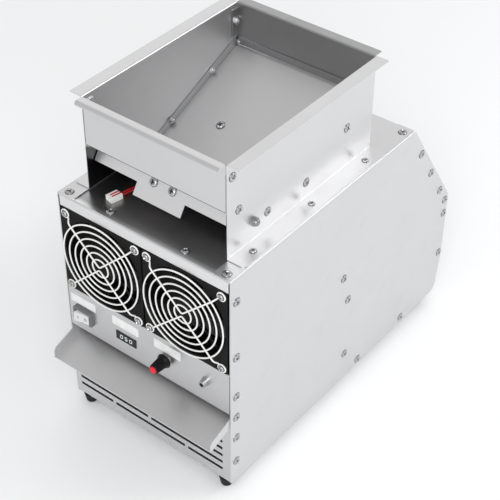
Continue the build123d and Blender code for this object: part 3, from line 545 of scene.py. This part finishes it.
half_turn = math.pi
zinc = plated_steel()
# Painted shade, near black, for screw recesses, rings round the heads and the seams.
painted_shade_black = painted_shade_film()
set_out_inputs = {"Shape": "Object", "Turns": "Float", "Seed": "Int", "Finish": "Material"}
set_out = Grower("set_out", set_out_inputs)
vectors = {"data_type": "FLOAT_VECTOR"}
facing = set_out.node("GeometryNodeInputNamedAttribute", vectors, {"Name": "facing"})
upright = set_out.node("FunctionNodeAlignRotationToVector", {"axis": "Z"}, {"Vector": facing})
chance = {"Min": 0.0, "Max": 1.0, "Seed": set_out.given("Seed")}
drawn = set_out.node("FunctionNodeRandomValue", {"data_type": "FLOAT"}, chance, "Value")
share = {0: drawn, 1: set_out.given("Turns")}
driven = set_out.node("ShaderNodeMath", {"operation": "MULTIPLY"}, share)
spin = set_out.node("ShaderNodeCombineXYZ", {}, {"Z": driven})
turning = {"Rotation": upright, "Rotate By": spin}
turn = set_out.node("FunctionNodeRotateRotation", {"rotation_space": "LOCAL"}, turning)
shape = set_out.node("GeometryNodeObjectInfo", {}, {"Object": set_out.given("Shape")}, "Geometry")
marks = set_out.node("GeometryNodeMeshToPoints", {}, {"Mesh": set_out.given("Geometry")})
copies = {"Points": marks, "Instance": shape, "Rotation": turn}
set_out.close(set_out.node("GeometryNodeInstanceOnPoints", {}, copies))


def place_out(name, spots, shape, body, seed, finish=zinc):
    """Sets a copy of a shape at each (place, facing) spot, as one mesh that rides on a body.

    The shape itself is used up.
    """
    mesh = bpy.data.meshes.new(name)
    mesh.from_pydata([place for place, _ in spots], [], [])
    aim = mesh.attributes.new("facing", "FLOAT_VECTOR", "POINT")
    for i, (_, direction) in enumerate(spots):
        aim.data[i].vector = direction
    values = {"Shape": shape, "Turns": half_turn, "Seed": seed, "Finish": finish}
    obj = set_out.grow(name, mesh, values)
    bpy.data.objects.remove(shape)
    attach(obj, body)
    return obj


def drive(name, spots, screw, body, seed):
    """Sets screws out on their spots, each with its film of painted shade in the recess and round the
    head.
    """
    head, film = screw
    place_out(f"{name}_oil", spots, film, body, seed, painted_shade_black)
    return place_out(name, spots, head, body, seed)


def seats(name, direction):
    """Where the screws of a node bear: the middle of the underside of each head."""
    direction = Vector(direction).normalized()
    corners = {tuple(round(c, 6) for c in v.co) for v in nodes[name].data.vertices}
    groups = []
    one_head = 3 * MM
    rim_width = 0.1 * MM
    for corner in map(Vector, sorted(corners)):
        flat = corner - direction * corner.dot(direction)
        near = [g for g in groups if any((flat - other).length < one_head for _, other in g)]
        groups = [g for g in groups if g not in near]
        groups.append(sum(near, [(corner, flat)]))
    found = []
    for group in groups:
        axis = sum((flat for _, flat in group), Vector()) / len(group)
        widest = max((flat - axis).length for _, flat in group)
        rim = [corner for corner, flat in group if (flat - axis).length > widest - rim_width]
        found.append((sum(rim, Vector()) / len(rim), direction))
    return found


# Spots on a side are (behind the front edge, above the side plates' foot), and those on the
# top (to each side of the middle, behind the front edge), all in millimetres.
side_spots = (
    (10.5, 283.6),
    (10.5, 201.9),
    (10.5, 140.8),
    (10.5, 107.6),
    (10.5, 73.1),
    (10.5, 33.6),
    (217.7, 176.2),
    (230.3, 134.0),
    (230.5, 41.6),
    (263.2, 7.1),
    (365.5, 8.4),
    (375.5, 272.2),
    (404.8, 227.1),
    (434.1, 182.8),
    (451.5, 156.7),
    (452.5, 133.9),
    (452.9, 65.7),
)
hopper_spots = ((34.6, 421.9), (45.0, 374.1), (94.6, 341.6), (164.7, 339.8), (240.9, 371.8))
top_spots = ((54.0, 11.3), (113.5, 8.4), (114.0, 342.0))
plate_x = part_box("right_side_plate")[1].x
plate_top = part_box("right_side_plate")[1].z
sheet_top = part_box("top_plate")[1].z
domed_nut_height = 8 * MM
wall_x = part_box("rod_cap_nuts")[1].x - domed_nut_height


def casing_place(x, depth, height):
    """A place from its distances across, behind the front edge and above the plates' foot."""
    return Vector((x, front_y + depth, foot_z + height))


casing_screws = []
for side in (-1, 1):
    for depth, height in side_spots:
        casing_screws.append((casing_place(side * plate_x, depth * MM, height * MM), (side, 0, 0)))
    for depth, height in hopper_spots:
        casing_screws.append((casing_place(side * wall_x, depth * MM, height * MM), (side, 0, 0)))
    for x, depth in top_spots:
        top = sheet_top if x * MM < wall_x else plate_top
        casing_screws.append((Vector((side * x * MM, front_y + depth * MM, top)), (0, 0, 1)))
small_head = pan_head("small_head", 5.4 * MM, 2.1 * MM)
drive("casing_screws", casing_screws, small_head, "machine_body", 7)
foot_head = pan_head("foot_head", 4.0 * MM, 2.4 * MM)
foot_seats = seats("hopper_screws", (0, 0, 1))
foot_screws = drive("hopper_foot_screws", foot_seats, foot_head, "machine_body", 3)
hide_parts("hopper_screws")
floor_fall = math.radians(22.8)
strap_head = pan_head("strap_head", 5.4 * MM, 2.8 * MM)
strap_seats = seats("motor_strap_screw", (0, -math.sin(floor_fall), math.cos(floor_fall)))
strap_screw = drive("strap_screw", strap_seats, strap_head, "machine_body", 2)
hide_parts("motor_strap_screw")


# Fans. Black glass-filled plastic, injection moulded, with the matt bloom of the mould on the
# frames and slightly smoother impellers. Plastic strips pack the gaps beside the frames.
def moulded(name, colour, dull, shine=0.5):
    """Moulded plastic: spark-eroded texture, dull rub on it, and no two shades quite alike."""
    plastic = Finish(name)
    texture = plastic.noise(1800.0, detail=2.0, rough=0.6)
    rub = plastic.noise(40.0, detail=3.0)
    pale = tuple(c * 1.3 + 0.001 for c in colour)
    tone = plastic.mix(rub * 0.6 + texture * 0.4, colour, pale)
    relief = plastic.bump(texture, 0.00004, 0.5)
    rough = dull + (rub - 0.5) * 0.15
    sockets = {"Base Color": tone, "Roughness": rough, "Specular IOR Level": shine, "Normal": relief}
    return plastic.surface(sockets)


frame_plastic = moulded("fan_frame_plastic", (0.004, 0.004, 0.0045), 0.6, 0.15)
impeller_plastic = moulded("impeller_plastic", (0.003, 0.003, 0.003), 0.45, 0.12)
dress(("fan_frame_left", "fan_frame_right"), frame_plastic)
dress(("fan_impeller_left", "fan_impeller_right"), impeller_plastic)
dress(("fan_side_strips",), moulded("packing_plastic", (0.004, 0.004, 0.004), 0.6, 0.15))

# Finger guards. Steel wire, cream coated: six rings welded behind two V-shaped wires, whose
# four legs step back outside the last ring and end in eyes under the fan screws.
wire_radius = 1.0 * MM
ring_count = 6
first_ring = 12.0 * MM
outer_ring = 57.0 * MM
eye_radius = 5.1 * MM
eye_spot = 5.6 * MM
apex_rise = 1.5 * MM
leg_bend = 61.7 * MM
leg_step = 4.5 * MM
leg_ease = 3.4 * MM
ring_setback = 1.6 * MM
eye_steps = 28
first_ring_steps = 40
more_ring_steps = 8

swept = Grower("swept_wire", {"Radius": "Float", "Finish": "Material"})
line = swept.node("GeometryNodeMeshToCurve", {}, {"Mesh": swept.given("Geometry")})
round_sockets = {"Resolution": 10, "Radius": swept.given("Radius")}
round_bar = swept.node("GeometryNodeCurvePrimitiveCircle", {}, round_sockets)
bar_sockets = {"Curve": line, "Profile Curve": round_bar, "Fill Caps": True}
bar = swept.node("GeometryNodeCurveToMesh", {}, bar_sockets)
swept.close(swept.node("GeometryNodeSetShadeSmooth", {}, {"Geometry": bar, "Shade Smooth": True}))


def eased(points, reach):
    """A path with each corner rounded in six steps, starting at reach before it."""
    steps = 6
    path = [points[0]]
    for before, corner, after in zip(points, points[1:], points[2:]):
        start = corner + (before - corner).normalized() * min(reach, (before - corner).length * 0.45)
        end = corner + (after - corner).normalized() * min(reach, (after - corner).length * 0.45)
        for i in range(steps + 1):
            t = i / steps
            path.append(start * (1 - t) ** 2 + corner * (2 * t * (1 - t)) + end * t**2)
    return path + [points[-1]]


def hoop(centre, radius, steps):
    """A closed ring of points that faces the front."""
    angles = [2 * math.pi * i / steps for i in range(steps)]
    return [centre + Vector((math.cos(a), 0.0, math.sin(a))) * radius for a in angles]


def sweep(name, open_paths, closed_paths, radius, finish, body):
    """Round wire along each path, as one mesh that rides on a body."""
    points, edges = [], []
    for path, closed in [(p, False) for p in open_paths] + [(p, True) for p in closed_paths]:
        first = len(points)
        points += path
        edges += [(i, i + 1) for i in range(first, len(points) - 1)]
        if closed:
            edges.append((len(points) - 1, first))
    mesh = bpy.data.meshes.new(name)
    mesh.from_pydata(points, edges, [])
    obj = swept.grow(name, mesh, {"Radius": radius, "Finish": finish})
    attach(obj, body)
    return obj


def coated_wire():
    """Cream powder coat on wire: faint orange peel, thinner and greyer where it was handled."""
    coat = Finish("guard_coating")
    peel = coat.noise(700.0)
    worn = coat.step(coat.noise(120.0, detail=3.0), 0.58, 0.72)
    tone = coat.mix(peel * 0.5 + worn * 0.5, (0.92, 0.918, 0.905), (0.80, 0.80, 0.785))
    relief = coat.bump(peel, 0.00008, 0.4)
    return coat.surface({"Base Color": tone, "Roughness": 0.34 + worn * 0.15, "Normal": relief})


guard_coat = coated_wire()
for side in ("left", "right"):
    low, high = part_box(f"finger_guard_{side}")
    centre = (low + high) / 2
    spoke_y = low.y + wire_radius
    eye_y = high.y - wire_radius
    ring_y = spoke_y + ring_setback
    eye_out = (high.x - low.x) / 2 - eye_spot
    legs, hoops = [], []
    for up in (-1, 1):
        apex = Vector((centre.x, spoke_y, centre.z + up * apex_rise))
        ends = []
        for aside in (-1, 1):
            eye = Vector((centre.x + aside * eye_out, spoke_y, centre.z + up * eye_out))
            along = (eye - apex).normalized()
            drop = Vector((0.0, eye_y - spoke_y, 0.0))
            leg = [apex + along * leg_bend, apex + along * (leg_bend + leg_step) + drop]
            ends.append(leg + [eye - along * eye_radius + drop])
            hoops.append(hoop(eye + drop, eye_radius, eye_steps))
        legs.append(eased(ends[0][::-1] + [apex] + ends[1], leg_ease))
    for i in range(ring_count):
        radius = first_ring + (outer_ring - first_ring) * i / (ring_count - 1)
        ring_steps = first_ring_steps + more_ring_steps * i
        hoops.append(hoop(Vector((centre.x, ring_y, centre.z)), radius, ring_steps))
    guard = sweep(
        f"guard_wires_{side}", legs, hoops, wire_radius, guard_coat, "machine_body"
    )
    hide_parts(f"finger_guard_{side}")

guard_head = pan_head("guard_head", 4.0 * MM, 2.2 * MM, 0.6 * MM)
guard_screws = drive("fan_screws", seats("guard_screws", (0, -1, 0)), guard_head, "machine_body", 11)
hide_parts("guard_screws")


# Panel labels. Three bare polyester films, cut with rounded corners and stuck on the control
# panel above its switch, its display and its knob.
def stood(mesh, place, facing, twist=0.0):
    """Moves a mesh made about the origin to its place, with its Z axis along the facing."""
    turned_to = Vector(facing).to_track_quat("Z", "Y").to_matrix().to_4x4()
    mesh.transform(Matrix.Translation(place) @ turned_to @ Matrix.Rotation(twist, 4, "Z"))
    return mesh


def fixed(name, mesh, material, body):
    """Makes a piece of a mesh in its place, which rides on a body."""
    obj = piece(name, mesh, material)
    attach(obj, body)
    return obj


def rounded(width, height, radius):
    """The outline of a rectangle about the origin, its corners rounded in four steps."""
    steps = 4
    outline = []
    for i, (x, y) in enumerate(((1, 1), (-1, 1), (-1, -1), (1, -1))):
        for j in range(steps + 1):
            angle = math.pi / 2 * (i + j / steps)
            across_x = x * (width / 2 - radius) + radius * math.cos(angle)
            outline.append((across_x, y * (height / 2 - radius) + radius * math.sin(angle)))
    return outline


def label_film():
    """Pale polyester film with a soft sheen, a little greyer where fingers rub it."""
    film = Finish("label_film")
    rub = film.step(film.noise(90.0, detail=3.0), 0.45, 0.75)
    tone = film.mix(rub, (0.84, 0.84, 0.84), (0.72, 0.72, 0.72))
    return film.surface({"Base Color": tone, "Roughness": 0.42})


# Each label: its middle across and above the foot, width, height, and how far it is tilted.
labels = (
    (-99.7, 164.5, 39.5, 12.0, 0.0),
    (-32.5, 165.2, 41.0, 13.0, 0.0),
    (32.0, 166.0, 40.0, 13.0, -0.02),
)
film_corner = 0.8 * MM
film_thick = 0.12 * MM
film_sunk = 0.02 * MM
label_sheet = label_film()
for i, (x, height, wide, tall, tilt) in enumerate(labels):
    cut_film = bmesh.new()
    slab(cut_film, rounded(wide * MM, tall * MM, film_corner), -film_sunk, film_thick)
    label_place = casing_place(x * MM, 0.0, height * MM)
    sheet = stood(finished(cut_film, "label"), label_place, (0, -1, 0), tilt)
    fixed(f"panel_label_{i + 1}", sheet, label_sheet, "machine_body")

# Seam shade. Painted shade lies in the narrow seams beside the panel, beside the top sheet's
# lip and beside and under the hopper's front wall, as thin dark strips on the sheet.
# Each seam: its middle across, behind and above, its width and height.
seams = (
    (-123.4, 0.0, 149.0, 0.7, 61.0),
    (123.4, 0.0, 149.0, 0.7, 61.0),
    (-123.4, 0.0, 308.25, 0.7, 13.5),
    (123.4, 0.0, 308.25, 0.7, 13.5),
    (-98.65, 25.5, 405.0, 0.7, 48.0),
    (98.65, 25.5, 405.0, 0.7, 48.0),
    (0.0, 25.5, 380.3, 196.0, 0.6),
)
seam_shade_thick = 0.06 * MM
seam_shade_sunk = 0.05 * MM


def joined(name, meshes):
    """One mesh from several, which are used up."""
    made = bmesh.new()
    for mesh in meshes:
        made.from_mesh(mesh)
        bpy.data.meshes.remove(mesh)
    return finished(made, name)


strips = []
for x, depth, height, wide, tall in seams:
    strip = bmesh.new()
    slab(strip, oblong(wide * MM, tall * MM), -seam_shade_sunk, seam_shade_thick)
    strip_place = casing_place(x * MM, depth * MM, height * MM)
    strips.append(stood(finished(strip, "strip"), strip_place, (0, -1, 0)))
# The strips are painted shade.
fixed("seam_dust", joined("seam_dust", strips), painted_shade_black, "machine_body")

# Display. A black case in the panel with a dark window, through which three pale digits glow,
# each of up to seven lit bars.
bar_places = {
    "a": (0, 2, False),
    "b": (1, 1, True),
    "c": (1, -1, True),
    "d": (0, -2, False),
    "e": (-1, -1, True),
    "f": (-1, 1, True),
    "g": (0, 0, False),
}
digit_bars = ("abcdef", "acdfg", "abcdef")
digit_width = 3.5 * MM
digit_height = 5.0 * MM
digit_pitch = 7.2 * MM
digit_lean = 0.12
bar_width = 0.65 * MM
bar_thick = 0.04 * MM
bar_sunk = 0.02 * MM


def front_of(name, behind=0.0):
    """The middle of a node's front, or a place so far behind it."""
    low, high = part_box(name)
    return Vector(((low.x + high.x) / 2, low.y + behind, (low.z + high.z) / 2))


def pale_glow():
    """Lit bars, a little uneven in brightness."""
    glow = Finish("digit_glow")
    tone = glow.mix(glow.noise(800.0), (0.62, 0.70, 0.70), (0.75, 0.82, 0.82))
    light = {"Emission Color": tone, "Emission Strength": 0.7}
    return glow.surface({"Base Color": tone, "Roughness": 0.5, **light})


lit = bmesh.new()
for i, bars in enumerate(digit_bars):
    for bar_name in bars:
        x, y, tall = bar_places[bar_name]
        middle_y = y * digit_height / 4
        middle_x = (i - 1) * digit_pitch + x * digit_width / 2 + middle_y * digit_lean
        wide, high = digit_width - bar_width, bar_width
        if tall:
            wide, high = bar_width, digit_height / 2 - bar_width
        corners = [(middle_x + u + v * digit_lean, middle_y + v) for u, v in oblong(wide, high)]
        slab(lit, corners, -bar_sunk, bar_thick)
lit_mesh = stood(finished(lit, "display_digits"), front_of("display_window"), (0, -1, 0))
fixed("display_digits", lit_mesh, pale_glow(), "machine_body")
dress(("speed_display",), moulded("case_plastic", (0.008, 0.008, 0.008), 0.4, 0.3))
dress(("display_window",), moulded("window_plastic", (0.010, 0.006, 0.006), 0.12, 0.3))
dress(("control_board",), moulded("board_lacquer", (0.02, 0.16, 0.06), 0.3))

# Knob. Black moulded plastic, pushed onto the potentiometer's plated shaft: a flared skirt,
# twenty flutes and a red cap pressed into its end.
flutes = 20
flute_share = 0.075
flute_foot = 5.5 * MM
flute_end = 18.0 * MM
cap_place = front_of("speed_knob")
knob_place = Vector((cap_place.x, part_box("speed_knob")[1].y, cap_place.z))
knob_outline = (
    (0.0, 0.0),
    (9.2, 0.0),
    (9.5, 0.5),
    (9.4, 1.6),
    (8.3, 3.6),
    (7.5, 4.8),
    (7.4, 5.2),
    (7.2, 6.6),
    (6.3, 17.4),
    (6.2, 18.2),
    (5.7, 19.0),
    (0.0, 19.0),
)


def flute(angle, height, radius):
    """Cuts the flutes into the grip of the knob, and none into its skirt and end."""
    share = flute_share if flute_foot < height < flute_end else 0.0
    return radius * (1 - share * (0.5 - 0.5 * math.cos(flutes * angle)))


grip = smooth(turned("knob_grip", millimetres(knob_outline), 8 * flutes, flute))
knob_black = moulded("knob_plastic", (0.003, 0.003, 0.003), 0.4, 0.2)
grip = fixed("knob_grip", stood(grip, knob_place, (0, -1, 0)), knob_black, "knob_body")
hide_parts("speed_knob")
cap_outline = ((0.0, 0.0), (4.4, 0.0), (4.5, 0.3), (4.4, 1.3), (4.0, 2.0), (3.0, 2.35), (0.0, 2.4))
cap = smooth(turned("red_cap", millimetres(cap_outline), 48))
cap_red = moulded("cap_plastic", (0.66, 0.012, 0.03), 0.35, 0.3)
cap = fixed("red_cap", stood(cap, cap_place, (0, -1, 0)), cap_red, "knob_body")
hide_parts("knob_cap")
dress(("potentiometer_shaft", "potentiometer_nut", "speed_potentiometer"), zinc)

# Rocker switch. A pale plastic rocker in the raised grey bezel of a body that snaps into the
# panel. It carries a stroke and a ring, one on each wing, and rests tipped to its left.
rocker_pivot = casing_place(-99.0 * MM, 1.6 * MM, 144.9 * MM)
rocker_tip = math.radians(9.0)
wing_fall = 1.2
wing_length = 10.5
wing_lean = math.atan2(wing_fall, wing_length)
mark_front = 9.0
stroke_width = 0.8 * MM
stroke_height = 4.6 * MM
ring_outside = 2.2
ring_inside = 1.5
ink_thick = 0.08
ink_sunk = 0.05
dress(("rocker_switch_body",), moulded("switch_plastic", (0.13, 0.13, 0.135), 0.42))
dress(("switch_rocker",), moulded("rocker_plastic", (0.62, 0.62, 0.63), 0.3))
mark_ink = moulded("mark_ink", (0.04, 0.04, 0.04), 0.5)
for name, side in (("rocker_stroke", -1), ("rocker_ring", 1)):
    mark = bmesh.new()
    if side < 0:
        slab(mark, oblong(stroke_width, stroke_height), -ink_sunk * MM, ink_thick * MM)
    else:
        outside = ((ring_outside, -ink_sunk), (ring_outside, ink_thick))
        inside = ((ring_inside, ink_thick), (ring_inside, -ink_sunk))
        lathe(mark, millimetres((*outside, *inside, outside[0])), 32)
        bmesh.ops.remove_doubles(mark, verts=mark.verts, dist=1e-7)
    turn = Matrix.Rotation(rocker_tip, 3, "Z")
    middle = rocker_pivot + turn @ Vector((side * wing_length / 2, -mark_front, 0.0)) * MM
    outward = turn @ Vector((-side * math.sin(wing_lean), -math.cos(wing_lean), 0.0))
    fixed(name, stood(finished(mark, name), middle, outward), mark_ink, "rocker_body")

# Power socket. A plated barrel with its ring nut behind the panel. It is lined with a black
# insulator, and its pin stands in the middle.
dress(("power_socket", "socket_nut"), zinc)
insulator_outline = ((0, -4), (2.88, -4), (2.88, 0), (0, 0))
insulator_setback = 0.9 * MM
insulator = turned("socket_insulator", millimetres(insulator_outline), 40)
insulator = stood(insulator, front_of("power_socket", insulator_setback), (0, -1, 0))
black = moulded("insulator_plastic", (0.004, 0.004, 0.004), 0.5, 0.2)
fixed("socket_insulator", insulator, black, "machine_body")

# Shaker. A plated motor with a weight off the centre of its shaft, strapped below the hopper's
# floor. Its two red leads, crimped into a white connector that lies on the top sheet, go down
# through a black rubber grommet.
crimp_spots = (-1.8 * MM, 1.8 * MM)
crimp_front = 1.5 * MM
crimp_width = 1.7 * MM
crimp_length = 11.5 * MM
crimp_thick = 0.35 * MM
crimp_sunk = 0.1 * MM
connector_turn = math.radians(-12.0)
dress(("motor_strap", "vibration_motor", "eccentric_weight"), zinc)
dress(("lead_connector",), moulded("connector_plastic", (0.82, 0.82, 0.80), 0.4))
lead_red = moulded("lead_insulation", (0.50, 0.015, 0.02), 0.4)
dress(("motor_leads",), lead_red)
lead_low, lead_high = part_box("lead_connector")
lead_middle = Vector(((lead_low.x + lead_high.x) / 2, (lead_low.y + lead_high.y) / 2, lead_high.z))
crimped = bmesh.new()
for x in crimp_spots:
    lead = [(x + u, v + crimp_front) for u, v in oblong(crimp_width, crimp_length)]
    slab(crimped, lead, -crimp_sunk, crimp_thick)
crimped_leads = finished(crimped, "crimped_leads")
crimped_leads.transform(Matrix.Translation(lead_middle) @ Matrix.Rotation(connector_turn, 4, "Z"))
fixed("crimped_leads", crimped_leads, lead_red, "machine_body")
grommet_outline = ((0.0, -0.05), (4.5, -0.05), (4.5, 2.9), (4.1, 3.8), (3.4, 4.2), (0.0, 4.2))
grommet = smooth(turned("lead_grommet", millimetres(grommet_outline), 32))
grommet_place = Vector((-55.7 * MM, front_y + 81.7 * MM, sheet_top))
grommet_rubber = moulded("grommet_rubber", (0.012, 0.012, 0.012), 0.7, 0.3)
stood(grommet, grommet_place, (0, 0, 1))
fixed("lead_grommet", grommet, grommet_rubber, "machine_body")

# Feet. Black rubber cones with rounded ends, moulded, one fixed under the base tray near each
# corner of the casing.
foot_rubber = moulded("foot_rubber", (0.012, 0.012, 0.012), 0.75, 0.3)
foot_end = ((0.0, 0.0), (5.6, 0.0), (6.5, 0.3), (7.0, 0.9), (7.3, 1.9))
foot_outline = (*foot_end, (9.2, 12.6), (9.5, 13.4), (9.5, 14.0), (0.0, 14.0))
for corner in ("front_left", "front_right", "rear_left", "rear_right"):
    low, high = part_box(f"foot_{corner}")
    cone = smooth(turned("foot", millimetres(foot_outline), 40))
    stood(cone, Vector(((low.x + high.x) / 2, (low.y + high.y) / 2, low.z)), (0, 0, 1))
    foot = fixed(f"rubber_foot_{corner}", cone, foot_rubber, "machine_body")
    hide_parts(f"foot_{corner}")


# Hopper nuts. Small zinc-plated nuts inside the hopper, run up on the ends of the screws that
# come through its side plates, with a stub of thread standing out of each.
def flats(across_flats):
    """A reach for lathe that cuts six flats, with two corners upright."""

    def cut(angle, height, radius):
        from_middle = (angle + math.pi / 6) % (math.pi / 3) - math.pi / 6
        return min(radius, across_flats / 2 / math.cos(from_middle))

    return cut


thread_stub = ((2.0, 3.1), (2.0, 4.2), (1.6, 4.6), (0.0, 4.6))
nut_outline = ((0.0, -0.05), (3.8, -0.05), (4.04, 0.3), (4.04, 2.7), (3.5, 3.1), *thread_stub)
nut_flats = flats(7.0 * MM)
inner_nut = piece("inner_nut", turned("inner_nut", millimetres(nut_outline), 36, nut_flats))
rear_corner_spots = ((288.0, 418.0), (290.0, 389.0))
floor_sheet = 1.2 * MM
cheek_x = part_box("hopper_floor")[1].x - floor_sheet
nut_spots = []
for side in (-1, 1):
    for depth, height in (*hopper_spots[3:], *rear_corner_spots):
        nut_place = casing_place(side * cheek_x, depth * MM, height * MM)
        nut_spots.append((nut_place, (-side, 0, 0)))
place_out("hopper_nuts", nut_spots, inner_nut, "machine_body", 9)

# Feed gate. A steel plate that slides below the front slope and is bent down at its front. Two
# screws hold the brighter front plate, with its pull tab, to it.
lean = math.radians(33.2)
gate_head = pan_head("gate_head", 5.4 * MM, 3.0 * MM)
gate_seats = seats("gate_screws", (0, -math.cos(lean), math.sin(lean)))
gate_screws = drive("gate_front_screws", gate_seats, gate_head, "gate_body", 5)
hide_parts("gate_screws")
dress(("feed_gate",), hopper_steel)
dress(("gate_front_plate",), mill_sheet("gate_steel", 0.86, (90.0, 1200.0, 1200.0), 0.40))

# Gate rod. A plated rod that crosses the hopper below the gate and carries it. Its ends come
# out through the side plates into domed nuts, turned from stainless hexagon bar.
dome_outline = (
    (0.0, 0.0),
    (5.2, 0.0),
    (5.77, 0.5),
    (5.77, 3.9),
    (5.0, 4.5),
    (4.5, 4.6),
    (4.3, 5.6),
    (3.6, 6.8),
    (2.2, 7.7),
    (0.0, 8.0),
)
dome_flats = flats(10.0 * MM)


def nut_steel():
    """Turned stainless: darker and clearer than zinc, with fine rings of the tool."""
    nut = Finish("nut_steel")
    rings = nut.noise((3200.0, 300.0, 300.0), detail=2.0)
    colour = nut.mix(rings, (0.40, 0.40, 0.405), (0.24, 0.24, 0.245))
    return nut.surface({"Base Color": colour, "Metallic": 1.0, "Roughness": 0.22 + rings * 0.15})


dress(("gate_rod",), zinc)
nut_low, nut_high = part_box("rod_cap_nuts")
domes = []
for side in (-1, 1):
    dome = smooth(turned("dome", millimetres(dome_outline), 48, dome_flats), 30.0)
    end = Vector((side * wall_x, (nut_low.y + nut_high.y) / 2, (nut_low.z + nut_high.z) / 2))
    domes.append(stood(dome, end, (side, 0, 0)))
domed = joined("domed_nuts", domes)
domed_nuts = fixed("domed_nuts", domed, nut_steel(), "machine_body")
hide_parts("rod_cap_nuts")
